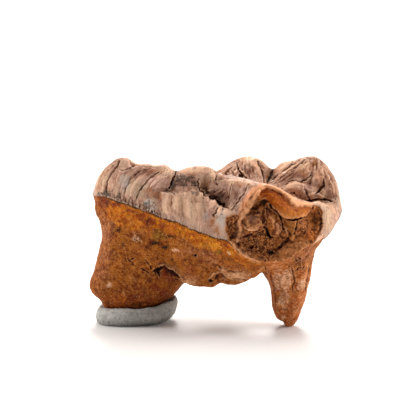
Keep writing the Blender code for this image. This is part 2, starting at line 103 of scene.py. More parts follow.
def nearest_on(path, flat):
    """How far each flat point is from a polyline, and how far along it, 0 to 1, the nearest place is."""
    path = np.array(path, float)
    lengths = np.linalg.norm(np.diff(path, axis=0), axis=1)
    whole = max(lengths.sum(), TINY)
    away = np.full(len(flat), np.inf)
    way = np.zeros(len(flat))
    before = 0.0
    for start, end, length in zip(path, path[1:], lengths):
        share = np.clip((flat - start) @ (end - start) / max(length ** 2, TINY), 0, 1)
        gap = np.linalg.norm(flat - start - share[:, None] * (end - start), axis=1)
        way = np.where(gap < away, (before + share * length) / whole, way)
        away = np.minimum(away, gap)
        before += length
    return away, way


def depth_inside(outline, flat):
    """How far each flat point lies inside a closed outline, negative outside it."""
    corners = np.array(outline + outline[:1], float)
    inside = np.zeros(len(flat), bool)
    for start, end in zip(corners, corners[1:]):
        run, rise_of_side = end - start
        crosses = (start[1] > flat[:, 1]) != (end[1] > flat[:, 1])
        crossing = start[0] + (flat[:, 1] - start[1]) * run / (rise_of_side + TINY)
        inside ^= crosses & (flat[:, 0] < crossing)
    return np.where(inside, 1, -1) * nearest_on(corners, flat)[0]


def grain(points, size, turn=0.0):
    """Soft random values between -1 and 1 that change over the given size."""
    return np.array([noise.noise(Vector(p)) for p in points / size + turn])


def changed(item, kind, **settings):
    """Replaces the object's mesh by what one modifier makes of it."""
    modifier = item.modifiers.new(kind.title(), kind)
    for key, value in settings.items():
        setattr(modifier, key, value)
    graph = bpy.context.evaluated_depsgraph_get()
    made = bpy.data.meshes.new_from_object(item.evaluated_get(graph), depsgraph=graph)
    item.modifiers.clear()
    item.data = made


class Clay:
    """A fine copy of a piece, with its points and normals as arrays, to be pushed about by strokes."""

    def __init__(self, node, name, voxel, smoothing):
        self.item = bpy.data.objects.new(name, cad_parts[node].data.copy())
        bpy.context.scene.collection.objects.link(self.item)
        changed(self.item, "REMESH", mode="VOXEL", voxel_size=voxel * MM)
        changed(self.item, "SMOOTH", factor=0.5, iterations=smoothing)
        self.read()

    def read(self):
        """Takes the points and normals from the mesh, and works out where the viewer sees them."""
        mesh = self.item.data
        points = np.empty(len(mesh.vertices) * 3)
        normals = np.empty(len(mesh.vertices) * 3)
        mesh.vertices.foreach_get("co", points)
        mesh.vertices.foreach_get("normal", normals)
        self.points = points.reshape(-1, 3) / MM + PROFILE_ORIGIN
        self.normals = normals.reshape(-1, 3)
        self.flat = np.column_stack([self.points[:, 0], self.points @ np.array(SEEN_UP)])

    def write(self):
        """Puts the pushed points back into the mesh, kept within the solid's box."""
        moved = np.clip((self.points - PROFILE_ORIGIN) * MM, *cad_box)
        self.item.data.vertices.foreach_set("co", moved.ravel())
        self.item.data.update()
        self.read()

    def push(self, depth):
        """Moves the surface inward by depth, or outward where that is negative."""
        self.points -= self.normals * depth[:, None]

    def toward(self):
        """How squarely the surface faces the viewer."""
        return self.normals @ np.array(TO_VIEWER)

    def refine(self, least):
        """Cuts each face that faces the viewer more squarely than least into four."""
        mesh = bmesh.new()
        mesh.from_mesh(self.item.data)
        view = Vector(TO_VIEWER)
        edges = [edge for edge in mesh.edges
                 if any(face.normal.dot(view) > least for face in edge.link_faces)]
        bmesh.ops.subdivide_edges(mesh, edges=edges, cuts=1, use_grid_fill=True)
        mesh.to_mesh(self.item.data)
        mesh.free()
        changed(self.item, "SMOOTH", factor=0.5, iterations=2)
        self.read()
        self.dark_and_shade = np.zeros(len(self.points))
        self.pale_and_highlight = np.zeros(len(self.points))

    def across(self):
        """Where each point lies between the near wall, 0, and the far wall, 1."""
        near, far = along(NEAR_WALL, self.points[:, 0]), along(FAR_WALL, self.points[:, 0])
        return (self.points[:, 1] - near) / np.maximum(far - near, 1.0)

    def wavering(self, reach, size):
        """The places as seen, shifted about a little, so that lines drawn on them waver."""
        shifts = np.column_stack([grain(self.points, size), grain(self.points, size, turn=5.0)])
        return self.flat + reach * shifts

    def draw(self, strokes, where):
        """Draws strokes, each a path, half width, depth and tone. Depth goes inward, and a positive
            tone darkens the stroke, as a dark line and as painted shade in grooves and cracks, and a
            negative one lightens it, as a pale line and as painted highlight on crests and rims. A stroke
            is thin at its ends, uneven along its way and soft beside it, and the surface rises a little on
            both sides of it."""
        flat = self.wavering(reach=0.2, size=0.7)
        swell = 1 + 0.6 * grain(self.points, size=0.7, turn=11.0)
        strength = 0.75 + 0.6 * grain(self.points, size=0.5, turn=17.0)
        for path, width, depth, tone in strokes:
            low = np.min(path, axis=0) - 5 * width
            high = np.max(path, axis=0) + 5 * width
            close = ((flat > low) & (flat < high)).all(axis=1) & (where > 0.01)
            away, way = nearest_on(path if len(path) > 1 else path * 2, flat[close])
            thin = 0.5 + 0.5 * np.sqrt(np.sin(math.pi * way)) if len(path) > 1 else 1.0
            reach = away / (width * swell[close] * thin)
            core = np.exp(-(reach ** 2)) * where[close]
            halo = np.exp(-((reach / 2.4) ** 2)) * where[close]
            shoulder = np.exp(-(((reach - 2.1) / 0.9) ** 2)) * where[close]
            self.points[close] -= self.normals[close] * (depth * (core - 0.25 * shoulder))[:, None]
            shade = tone * (0.72 * core + 0.28 * halo) * strength[close]
            self.dark_and_shade[close] = np.maximum(self.dark_and_shade[close], shade)
            self.pale_and_highlight[close] = np.maximum(self.pale_and_highlight[close], -shade)
        self.write()

    def swell(self, forms, where):
        """Raises or sinks soft oval places, each given with its reach both ways and its depth, which
        goes inward."""
        for (x, seen), reach_x, reach_z, depth in forms:
            away = ((self.flat[:, 0] - x) / reach_x) ** 2 + ((self.flat[:, 1] - seen) / reach_z) ** 2
            self.push(depth * np.exp(-away) * where)
        self.write()

    def hollow(self, rounds):
        """How far each point lies below the same surface smoothed, in millimetres."""
        copy = bpy.data.objects.new("smooth_copy", self.item.data.copy())
        bpy.context.scene.collection.objects.link(copy)
        changed(copy, "SMOOTH", factor=0.5, iterations=rounds)
        smooth = np.empty(len(copy.data.vertices) * 3)
        copy.data.vertices.foreach_get("co", smooth)
        bpy.data.objects.remove(copy)
        smooth = smooth.reshape(-1, 3) / MM + PROFILE_ORIGIN
        return ((smooth - self.points) * self.normals).sum(axis=1)

    def mark(self, name, values):
        """Keeps a value for each point that the material reads by name."""
        layer = self.item.data.attributes.new(name, "FLOAT", "POINT")
        layer.data.foreach_set("value", np.asarray(values, np.float32))

    def dress(self, material):
        """Gives the piece its material and a smooth surface."""
        mesh = self.item.data
        mesh.materials.clear()
        mesh.materials.append(material)
        mesh.polygons.foreach_set("use_smooth", np.ones(len(mesh.polygons), bool))


def above_cervix(clay):
    """How far each point stands above the enamel's lower edge, which runs all round the tooth."""
    x, y, z = clay.points.T
    share = np.clip(clay.across(), 0, 1)
    depth = np.minimum(y, along(NEAR_WALL, x) + 4.0)
    near_edge = (along(NEAR_CERVIX, x) - depth * math.sin(VIEW_DOWN)) / math.cos(VIEW_DOWN)
    edge = (1 - share) * near_edge + share * along(FAR_CERVIX, x)
    return z - edge + 0.12 * grain(clay.points, size=0.5)


# Outlines on the near front corner, as (along, seen height): the whole break, its orange lip, and
# the parts that stand in it.
BREAK_OUTLINE = (
    (1.9, 20.2), (3.3, 20.9), (4.3, 20.5), (4.7, 21.4), (5.4, 22.7), (6.2, 24.2), (7.3, 25.2), (8.2, 25.8),
    (9.2, 26.0), (10.5, 25.7), (12.0, 25.1), (13.3, 24.3), (14.1, 23.1), (14.8, 22.5), (16.4, 22.5),
    (17.8, 22.4), (19.1, 22.3), (19.6, 21.2), (19.7, 18.8), (19.2, 17.2), (17.8, 15.3), (16.0, 14.4),
    (14.2, 13.1), (12.3, 12.1), (9.2, 11.8), (7.1, 12.2), (5.0, 13.2), (3.6, 14.5), (2.3, 16.0),
    (1.8, 17.8),
)
LIP_OUTLINE = (
    (8.3, 23.6), (7.6, 24.6), (8.4, 25.5), (9.3, 26.0), (10.6, 25.7), (12.0, 25.0), (13.1, 24.1),
    (13.7, 22.9), (14.9, 22.3), (17.7, 22.2), (17.6, 21.7), (17.2, 21.2), (16.5, 20.7), (15.4, 20.1),
    (13.7, 20.0), (12.5, 20.2), (12.05, 20.7), (11.2, 21.4), (10.2, 22.3), (9.6, 23.2), (9.0, 23.7),
)
TRAPEZOID_OUTLINE = ((12.7, 19.7), (14.8, 19.6), (14.6, 17.4), (14.1, 15.9), (13.5, 16.2), (12.9, 17.8))
SLAB_OUTLINE = (
    (12.2, 14.8), (14.4, 15.8), (16.8, 16.0), (17.6, 15.4), (16.0, 14.5), (14.2, 13.2), (12.3, 12.2),
    (10.6, 12.0), (10.8, 13.2),
)
DOME_OUTLINE = (
    (4.9, 20.4), (6.0, 21.2), (7.4, 21.0), (8.6, 20.9), (8.9, 19.6), (8.2, 18.6), (7.0, 18.1), (5.6, 18.5),
)
MASS_OUTLINE = (
    (8.8, 22.0), (10.2, 21.6), (11.5, 20.4), (12.1, 18.6), (12.2, 16.9), (11.0, 16.4), (10.0, 17.6),
    (8.9, 19.2), (8.8, 20.6),
)
ISLAND_OUTLINE = ((2.1, 20.1), (3.3, 20.6), (4.4, 19.4), (4.5, 17.6), (3.8, 16.2), (2.5, 16.4), (1.9, 17.8))
SPONGE_OUTLINE = (
    (3.6, 17.4), (8.6, 17.9), (10.6, 16.0), (12.4, 14.9), (11.0, 12.3), (8.8, 11.9), (5.4, 13.2),
    (3.4, 15.2),
)

# Dark ticks stand on the enamel's lower edge, strongly here and weakly there: position, strength.
TICK_STRENGTH = (
    (-21.5, 0.3), (-19.0, 0.6), (-17.0, 1.0), (-10.5, 1.0), (-9.0, 0.5), (-1.0, 0.45), (1.0, 0.2),
)

TICKS = 84
FIRST_TICK = -21.2
TICK_STEP = 0.27
TICK_WIDTH = 0.1
TICK_DEPTH = 0.05


def edge_ticks():
    """Short upright strokes along the enamel's lower edge, uneven in place and length."""
    strokes = []
    for i in range(TICKS):
        shake = noise.noise(Vector((0.73 * i, 2.0, 4.0)))
        x = FIRST_TICK + TICK_STEP * i + 0.3 * shake
        foot, strength = along(NEAR_CERVIX, x), along(TICK_STRENGTH, x)
        length = (1.0 + 1.5 * noise.noise(Vector((0.41 * i, 7.0, 1.0)))) * strength + 0.2
        tone = 0.9 * strength * (0.8 + 1.2 * noise.noise(Vector((0.9 * i, 5.0, 3.0))))
        path = ((x, foot), (x + 0.05, foot + length))
        strokes.append((path, TICK_WIDTH, TICK_DEPTH, max(tone, 0.0)))
    return strokes


# The shelf is the lower part of the near wall, which stands out from it along an upper edge.
SHELF_OUTLINE = (
    (-9.9, 25.0), (-8.2, 24.7), (-7.0, 24.3), (-5.6, 24.9), (-4.3, 24.6), (-3.1, 25.1), (-2.3, 24.75),
    (-1.7, 24.25), (-1.1, 23.8), (-0.4, 23.35), (0.2, 22.75), (0.9, 22.25), (1.6, 22.3), (2.3, 21.9),
    (2.6, 21.2), (2.0, 16.5), (-4.0, 17.5), (-10.0, 20.0),
)

# Forms are soft oval places: (along, seen height), reach along and up, and depth.
WALL_FORMS = (
    ((-1.9, 26.0), 0.95, 1.6, 0.55), ((0.7, 23.9), 1.5, 0.9, 0.5), ((-10.8, 26.8), 2.2, 1.1, -0.3),
    ((-15.2, 30.3), 0.55, 0.7, 1.0), ((-4.8, 27.7), 2.0, 1.0, -0.3), ((-6.9, 26.2), 1.3, 0.9, 0.3),
    ((2.4, 25.4), 1.5, 1.3, -0.3), ((-5.2, 22.3), 3.2, 1.8, -0.3), ((-16.7, 30.0), 0.9, 0.8, -0.25),
    ((-0.6, 27.6), 0.7, 1.0, -0.3), ((-13.0, 28.2), 1.6, 0.5, 0.2), ((-12.6, 24.6), 1.4, 0.9, 0.15),
    ((-1.5, 20.2), 0.5, 2.0, 0.12),
)

# Strokes are (path, half width, depth, tone). On the near wall of the crown they are growth lines,
# folds, the shelf's edge and its beads; their tones paint dark lines and painted shade in the folds
# and crevice, and pale lines and painted highlights on the rims and beads.
WALL_STROKES = (
    (((-17.6, 30.7), (-17.9, 29.9), (-19.1, 28.4), (-20.0, 26.7), (-20.15, 25.5), (-20.1, 24.7)),
      0.17, 0.16, 0.8),
    (((-17.9, 28.7), (-18.5, 27.0), (-18.8, 25.2), (-18.9, 24.2)), 0.1, 0.06, 0.4),
    (((-9.6, 28.7), (-10.8, 27.7), (-12.0, 26.4), (-12.7, 25.0)), 0.14, 0.08, 0.35),
    (((-15.4, 29.2), (-16.6, 28.0), (-17.4, 26.4), (-17.8, 24.6)), 0.16, 0.06, 0.3),
    (((-13.6, 28.4), (-14.9, 27.0), (-15.7, 25.6), (-16.1, 24.0)), 0.12, 0.06, 0.3),
    (((-11.9, 29.2), (-13.2, 28.9), (-14.3, 28.5), (-15.6, 27.2), (-16.5, 25.9), (-16.8, 24.4),
      (-16.9, 23.4)), 0.18, 0.12, 0.65),
    (((-10.5, 28.5), (-11.9, 27.6), (-12.8, 26.6), (-13.7, 25.5), (-14.3, 24.5), (-14.65, 23.6)),
      0.19, 0.16, 0.75),
    (((-18.2, 30.4), (-18.6, 29.0), (-19.5, 27.2), (-19.7, 25.2)), 0.2, -0.06, -0.4),
    (((-16.0, 28.4), (-17.0, 26.8), (-17.5, 25.0)), 0.3, -0.05, -0.3),
    (((-12.6, 28.2), (-14.2, 27.0), (-15.3, 25.6), (-15.7, 24.2)), 0.32, -0.1, -0.5),
    (((-10.2, 28.0), (-11.8, 26.9), (-12.8, 25.6)), 0.25, -0.08, -0.35),
    (((-6.9, 23.6), (-6.9, 21.0)), 0.5, -0.06, -0.35),
    (((-5.2, 23.4), (-5.3, 20.6)), 0.3, -0.04, -0.3),
    (((-3.2, 23.6), (-3.1, 20.6)), 0.5, -0.06, -0.3),
    (((-9.0, 23.8), (-9.0, 21.8)), 0.3, -0.04, -0.25),
    (((-11.6, 29.0), (-13.2, 28.5), (-14.0, 28.2)), 0.3, 0.05, 0.3),
    (((-19.1, 30.4), (-20.8, 28.5), (-21.5, 26.7), (-21.9, 25.0)), 0.12, 0.06, 0.45),
    (((-18.3, 30.2), (-20.2, 28.5), (-21.0, 26.7), (-21.3, 25.0)), 0.12, 0.05, 0.5),
    (((-19.8, 30.0), (-21.4, 28.2), (-22.1, 26.4)), 0.08, 0.05, 0.3),
    (((-17.7, 29.0), (-16.9, 28.9), (-16.0, 29.15), (-15.1, 29.6)), 0.16, 0.16, 0.4),
    (((-15.0, 29.7), (-13.0, 29.6), (-10.5, 29.3)), 0.16, 0.1, 0.3),
    (((-9.2, 27.6), (-10.6, 26.7), (-11.8, 25.6)), 0.12, 0.06, 0.25),
    (((-12.0, 25.9), (-10.6, 27.0), (-9.0, 27.8)), 0.25, -0.15, -0.35),
    (((-7.1, 29.0), (-7.4, 28.0), (-7.9, 26.9), (-8.6, 25.4)), 0.16, 0.4, 0.7),
    (((-9.9, 25.1), (-8.8, 25.1), (-8.2, 24.9), (-7.1, 24.25)), 0.12, 0.12, 0.5),
    (((-3.0, 27.4), (-3.2, 26.9), (-3.15, 25.9), (-2.9, 25.2)), 0.13, 0.3, 0.7),
    (((-3.0, 25.2), (-1.7, 24.2), (-0.4, 23.6), (0.6, 23.0), (1.5, 22.4), (2.6, 21.9)), 0.25, 0.5, 1.0),
    (((-1.6, 24.9), (-0.5, 24.1), (0.7, 23.2), (1.6, 22.8)), 0.45, 0.25, 0.45),
    (((2.9, 26.4), (2.55, 24.7), (2.2, 23.2)), 0.1, 0.15, 0.6),
    (((6.0, 26.3), (5.3, 24.8), (4.54, 23.7), (3.7, 22.7), (3.1, 21.8)), 0.14, 0.25, 0.75),
    (((5.15, 23.2), (4.95, 22.2), (4.75, 21.0)), 0.13, 0.22, 0.65),
    (((4.4, 26.0), (3.9, 24.6), (3.2, 23.2)), 0.09, 0.06, 0.3),
    (((0.9, 25.7), (-0.4, 24.6)), 0.1, 0.1, 0.5),
    (((1.5, 25.4), (0.1, 24.0)), 0.1, 0.1, 0.5),
    (((2.0, 25.0), (0.8, 23.6)), 0.1, 0.1, 0.5),
    (((2.3, 24.2), (1.5, 23.2)), 0.1, 0.1, 0.45),
    (((3.3, 22.6), (4.0, 23.8), (4.3, 24.8)), 0.09, 0.08, 0.35),
    (((0.35, 22.1), (0.05, 21.3), (-0.33, 20.5)), 0.12, 0.25, 0.7),
    (((-0.33, 20.5),), 0.2, 0.2, 0.9),
    (((-2.1, 24.5), (-2.4, 23.9)), 0.1, 0.2, 0.5),
    (((-1.0, 23.55), (-1.3, 22.9)), 0.1, 0.2, 0.5),
    (((1.3, 21.9), (1.2, 21.2)), 0.1, 0.15, 0.35),
    (((-0.1, 28.6), (0.2, 27.8), (0.1, 26.9)), 0.15, 0.25, 0.6),
    (((0.1, 26.6), (0.3, 26.1)), 0.25, 0.15, 0.7),
    (((-4.9, 26.05), (-3.3, 25.95)), 0.1, 0.1, 0.5),
    (((-8.1, 24.4), (-8.15, 23.0), (-8.0, 21.3)), 0.15, 0.05, 0.6),
    (((-9.9, 23.8), (-9.95, 22.4), (-9.8, 21.2)), 0.15, 0.04, 0.4),
    (((-4.26, 23.2), (-4.4, 21.4), (-4.3, 20.0)), 0.15, 0.04, 0.4),
    (((-6.1, 23.2), (-6.15, 21.6), (-6.0, 20.4)), 0.15, 0.04, 0.35),
    (((22.0, 22.4), (22.2, 21.4), (22.3, 20.6)), 0.1, 0.1, 0.55),
    (((-2.67, 24.35),), 0.5, -0.35, -0.4),
    (((-1.5, 23.7),), 0.45, -0.35, -0.3),
    (((-0.45, 22.7),), 0.65, -0.45, -0.4),
    (((0.75, 21.5),), 0.5, -0.45, -0.8),
    (((1.9, 21.3),), 0.55, -0.35, -0.8),
    (((-3.9, 25.0),), 0.6, -0.2, -0.2),
    (((-0.6, 28.5), (-0.3, 27.4)), 0.4, -0.25, -0.7),
    (((1.05, 27.75),), 0.45, -0.3, -0.5),
    (((0.75, 26.85), (1.6, 27.0), (2.8, 26.95), (4.5, 26.85), (6.2, 26.4), (7.4, 26.0)), 0.2, -0.1, -0.6),
    (((-20.6, 29.3), (-21.9, 27.5), (-22.5, 25.5)), 0.4, 0.0, -0.6),
    (((-17.6, 31.0), (-16.2, 31.0), (-15.6, 29.8), (-13.0, 29.95), (-9.6, 29.9), (-8.0, 29.1)),
      0.14, 0.0, -0.7),
    (((-6.4, 28.6), (-4.4, 29.4), (-1.8, 29.5), (-0.4, 28.9)), 0.16, 0.0, -0.7),
    (((19.6, 17.1), (18.8, 16.1), (17.9, 15.4)), 0.22, -0.1, -0.9),
    (((18.0, 22.75), (19.4, 23.1), (20.7, 22.9), (21.4, 22.1), (21.8, 21.0)), 0.3, -0.12, -0.7),
)

# Folds of the biting face, seen behind and above the near rim.
BITE_FORMS = (
    ((16.8, 29.1), 1.1, 0.7, -0.2), ((15.0, 25.6), 1.6, 0.9, -0.45), ((10.2, 27.4), 0.9, 1.6, 0.5),
    ((4.6, 27.9), 0.5, 0.4, 0.4), ((0.8, 27.9), 0.5, 0.4, -0.3), ((-15.2, 30.5), 0.55, 0.7, 0.9),
    ((18.6, 26.0), 1.2, 0.8, 0.3), ((2.6, 28.0), 1.2, 0.5, 0.3), ((17.4, 23.2), 1.6, 0.5, 0.2),
)
# Strokes on the biting face; their tones paint shade in its grooves and highlights on its ridges.
BITE_STROKES = (
    (((4.0, 30.5), (4.0, 29.6), (4.3, 28.9), (5.35, 27.9), (6.0, 27.1), (6.7, 26.5)), 0.13, 0.3, 0.7),
    (((3.47, 28.1), (3.98, 28.7), (4.67, 28.9), (5.35, 28.3), (6.0, 27.2)), 0.17, -0.25, -0.35),
    (((4.4, 28.0), (4.9, 27.6)), 0.3, 0.3, 0.9),
    (((7.75, 30.7), (8.4, 29.3), (8.95, 27.6), (9.1, 26.5)), 0.14, 0.3, 0.65),
    (((5.35, 30.0), (5.86, 28.6), (6.4, 27.4), (6.7, 26.6)), 0.1, 0.12, 0.4),
    (((6.7, 29.6), (7.4, 28.1), (8.1, 26.9)), 0.1, 0.12, 0.4),
    (((10.83, 29.6), (10.3, 28.3), (9.8, 27.1), (9.4, 26.3)), 0.18, 0.25, 0.35),
    (((3.2, 29.6), (2.4, 28.9), (1.8, 28.3)), 0.12, 0.16, 0.5),
    (((2.9, 28.9), (3.4, 28.3)), 0.15, 0.2, 0.6),
    (((1.4, 28.3), (2.95, 29.7)), 0.2, -0.2, -0.4),
    (((1.6, 28.4), (2.6, 27.8), (3.6, 27.3)), 0.16, 0.22, 0.65),
    (((2.3, 27.6), (3.0, 27.9), (3.7, 27.6)), 0.18, -0.2, -0.4),
    (((16.5, 30.8), (14.9, 29.5), (13.4, 28.6), (11.86, 27.4), (10.7, 26.5)), 0.11, 0.24, 0.6),
    (((15.6, 30.8), (14.3, 30.0), (12.5, 28.8), (11.2, 27.9), (10.1, 26.8)), 0.11, 0.22, 0.6),
    (((14.6, 28.6), (13.06, 27.4), (11.7, 26.5)), 0.11, 0.2, 0.5),
    (((17.2, 30.2), (15.6, 29.0), (14.0, 28.2)), 0.22, -0.1, -0.35),
    (((20.2, 29.0), (21.2, 27.0), (21.9, 25.0)), 0.35, -0.05, -0.5),
    (((13.2, 25.5), (14.5, 25.9), (15.4, 25.4)), 0.5, -0.05, -0.5),
    (((6.6, 30.6), (7.6, 29.0), (8.2, 27.6)), 0.3, -0.08, -0.3),
    (((17.6, 29.2), (18.4, 28.2), (18.9, 27.0)), 0.4, -0.05, -0.35),
    (((15.6, 28.0), (16.8, 28.6), (17.6, 28.9)), 0.3, -0.08, -0.35),
    (((15.8, 30.3), (13.9, 28.9), (11.7, 27.2)), 0.24, -0.2, -0.55),
    (((17.7, 28.1), (16.8, 27.2), (15.8, 26.75), (14.8, 27.0), (13.4, 26.9)), 0.13, 0.24, 0.7),
    (((16.4, 26.2), (16.7, 25.0), (17.0, 24.0), (17.4, 23.5)), 0.17, 0.25, 0.55),
    (((12.0, 25.6), (13.6, 26.2), (15.1, 26.5), (16.0, 26.3), (16.5, 25.6)), 0.2, -0.15, -0.5),
    (((15.1, 24.6), (15.97, 23.4)), 0.1, 0.12, 0.45),
    (((14.2, 25.0), (15.2, 23.9)), 0.1, 0.1, 0.35),
    (((19.99, 27.3), (19.9, 26.2), (19.2, 25.2), (18.2, 24.5)), 0.17, 0.25, 0.6),
    (((17.1, 24.15), (18.2, 24.6), (19.9, 24.15)), 0.2, -0.2, -0.4),
    (((15.6, 22.95), (17.3, 23.3), (19.2, 23.5), (20.8, 23.55), (21.6, 23.1)), 0.18, 0.45, 1.1),
    (((14.7, 23.75),), 0.45, -0.3, -0.7),
    (((13.8, 24.7), (14.6, 24.6), (15.3, 24.0)), 0.12, 0.16, 0.6),
    (((19.7, 30.0), (21.1, 27.9), (21.8, 26.2)), 0.1, 0.08, 0.3),
    (((18.6, 29.6), (19.4, 28.2), (20.6, 27.4)), 0.1, 0.1, 0.3),
    (((20.9, 27.2), (21.5, 25.5), (21.6, 24.2)), 0.1, 0.1, 0.35),
    (((21.96, 25.9), (22.3, 24.2), (21.8, 22.8)), 0.1, 0.08, 0.4),
    (((17.5, 30.6), (17.4, 29.4), (17.8, 28.4)), 0.2, 0.08, 0.3),
    (((16.9, 31.1), (18.0, 31.25), (18.9, 30.8)), 0.2, 0.0, 0.5),
    (((4.4, 31.2), (5.7, 31.7), (7.2, 31.3), (8.8, 30.6), (10.2, 29.8)), 0.16, 0.0, -0.7),
    (((11.3, 29.8), (13.0, 30.7), (14.4, 30.6)), 0.2, 0.0, -0.7),
)

# Where the wrinkles of a cusp fan out from, how far they reach and how high they stand.
CUSP_FANS = (((5.9, 33.2), 7.5, 0.26), ((19.0, 33.4), 11.0, 0.26))

# The broken corner: its rims, cracks, holes and thin ridges; their tones paint highlights on the
# rims and ridges and painted shade in the cracks and holes.
BREAK_STROKES = (
    (((7.95, 25.1), (8.7, 25.7), (9.45, 26.0), (10.45, 25.85), (11.7, 25.35), (12.6, 24.75), (13.3, 24.25),
      (13.8, 23.4), (14.3, 22.7), (14.9, 22.4), (15.5, 22.55), (16.6, 22.45), (17.7, 22.3)),
      0.3, -0.22, -1.0),
    (((7.9, 25.0), (7.2, 24.0), (6.6, 23.1), (5.85, 21.9), (5.3, 21.1), (4.8, 20.3), (4.4, 19.7)),
      0.4, -0.4, -0.75),
    (((9.5, 23.2), (8.6, 22.9), (7.8, 22.4), (6.7, 21.9)), 0.4, 0.4, 0.4),
    (((10.2, 22.4), (11.2, 21.5), (12.05, 20.85), (12.6, 20.4), (13.5, 20.2), (14.7, 20.1), (15.4, 20.25),
      (16.5, 20.85), (17.3, 21.5)), 0.22, -0.25, -0.45),
    (((9.9, 22.6), (10.3, 21.9), (11.0, 21.5), (11.7, 20.8), (12.1, 19.6)), 0.17, 0.5, 1.0),
    (((12.1, 19.7), (12.3, 18.6), (12.5, 17.8)), 0.12, 0.45, 1.1),
    (((12.4, 20.15), (13.5, 19.9), (14.4, 19.85), (15.3, 19.95), (16.5, 20.5)), 0.14, 0.5, 1.1),
    (((14.95, 19.6), (14.8, 18.4), (14.4, 17.0)), 0.12, 0.4, 1.0),
    (((13.2, 17.8), (13.5, 16.9), (13.1, 16.0), (12.1, 15.1), (11.0, 14.2)), 0.26, 0.3, 0.4),
    (((8.8, 18.5), (9.3, 18.2), (9.6, 17.3), (9.9, 16.5), (10.5, 16.65)), 0.2, 0.45, 0.85),
    (((5.3, 18.5), (6.0, 18.2), (6.7, 18.05), (7.35, 18.15), (7.95, 18.4)), 0.17, -0.35, -0.9),
    (((5.0, 18.1), (6.0, 17.75), (7.2, 17.7), (8.3, 17.9)), 0.16, 0.25, 0.6),
    (((4.9, 19.6), (4.9, 19.0), (5.4, 18.6)), 0.15, 0.2, 0.6),
    (((8.7, 21.6), (8.5, 20.2), (8.6, 19.2)), 0.3, 0.2, 0.4),
    (((9.4, 22.0), (9.3, 20.8), (9.7, 19.4)), 0.1, 0.12, 0.4),
    (((10.5, 21.2), (11.3, 19.8), (11.7, 18.2)), 0.1, 0.1, 0.3),
    (((9.9, 20.6), (10.6, 19.6), (10.7, 18.4)), 0.2, -0.2, -0.4),
    (((11.2, 18.9), (11.5, 17.9), (11.4, 17.0)), 0.3, -0.25, -0.4),
    (((12.75, 18.6), (13.2, 17.3)), 0.2, -0.2, -0.4),
    (((17.8, 22.4), (17.75, 21.6)), 0.16, 0.35, 0.8),
    (((10.2, 25.3), (11.6, 24.6), (12.7, 23.4)), 0.15, 0.12, 0.6),
    (((4.3, 19.5), (4.6, 18.2), (4.2, 16.8), (3.9, 15.8)), 0.4, -0.3, -0.6),
    (((2.9, 15.6), (4.6, 13.6), (6.4, 12.5), (8.0, 11.9)), 0.34, -0.15, -0.8),
    (((5.0, 16.6), (6.2, 17.0), (7.4, 16.6)), 0.2, 0.2, 0.6),
    (((6.6, 14.8),), 0.3, 0.3, 0.7),
    (((4.3, 15.2),), 0.35, 0.3, 0.8),
    (((9.5, 13.9), (10.6, 13.7)), 0.4, 0.3, 0.3),
    (((18.7, 21.3), (19.3, 20.0), (19.2, 18.2), (18.6, 17.0)), 0.2, 0.2, 0.5),
    (((12.35, 18.5), (12.5, 18.0)), 0.1, -0.1, -0.5),
)
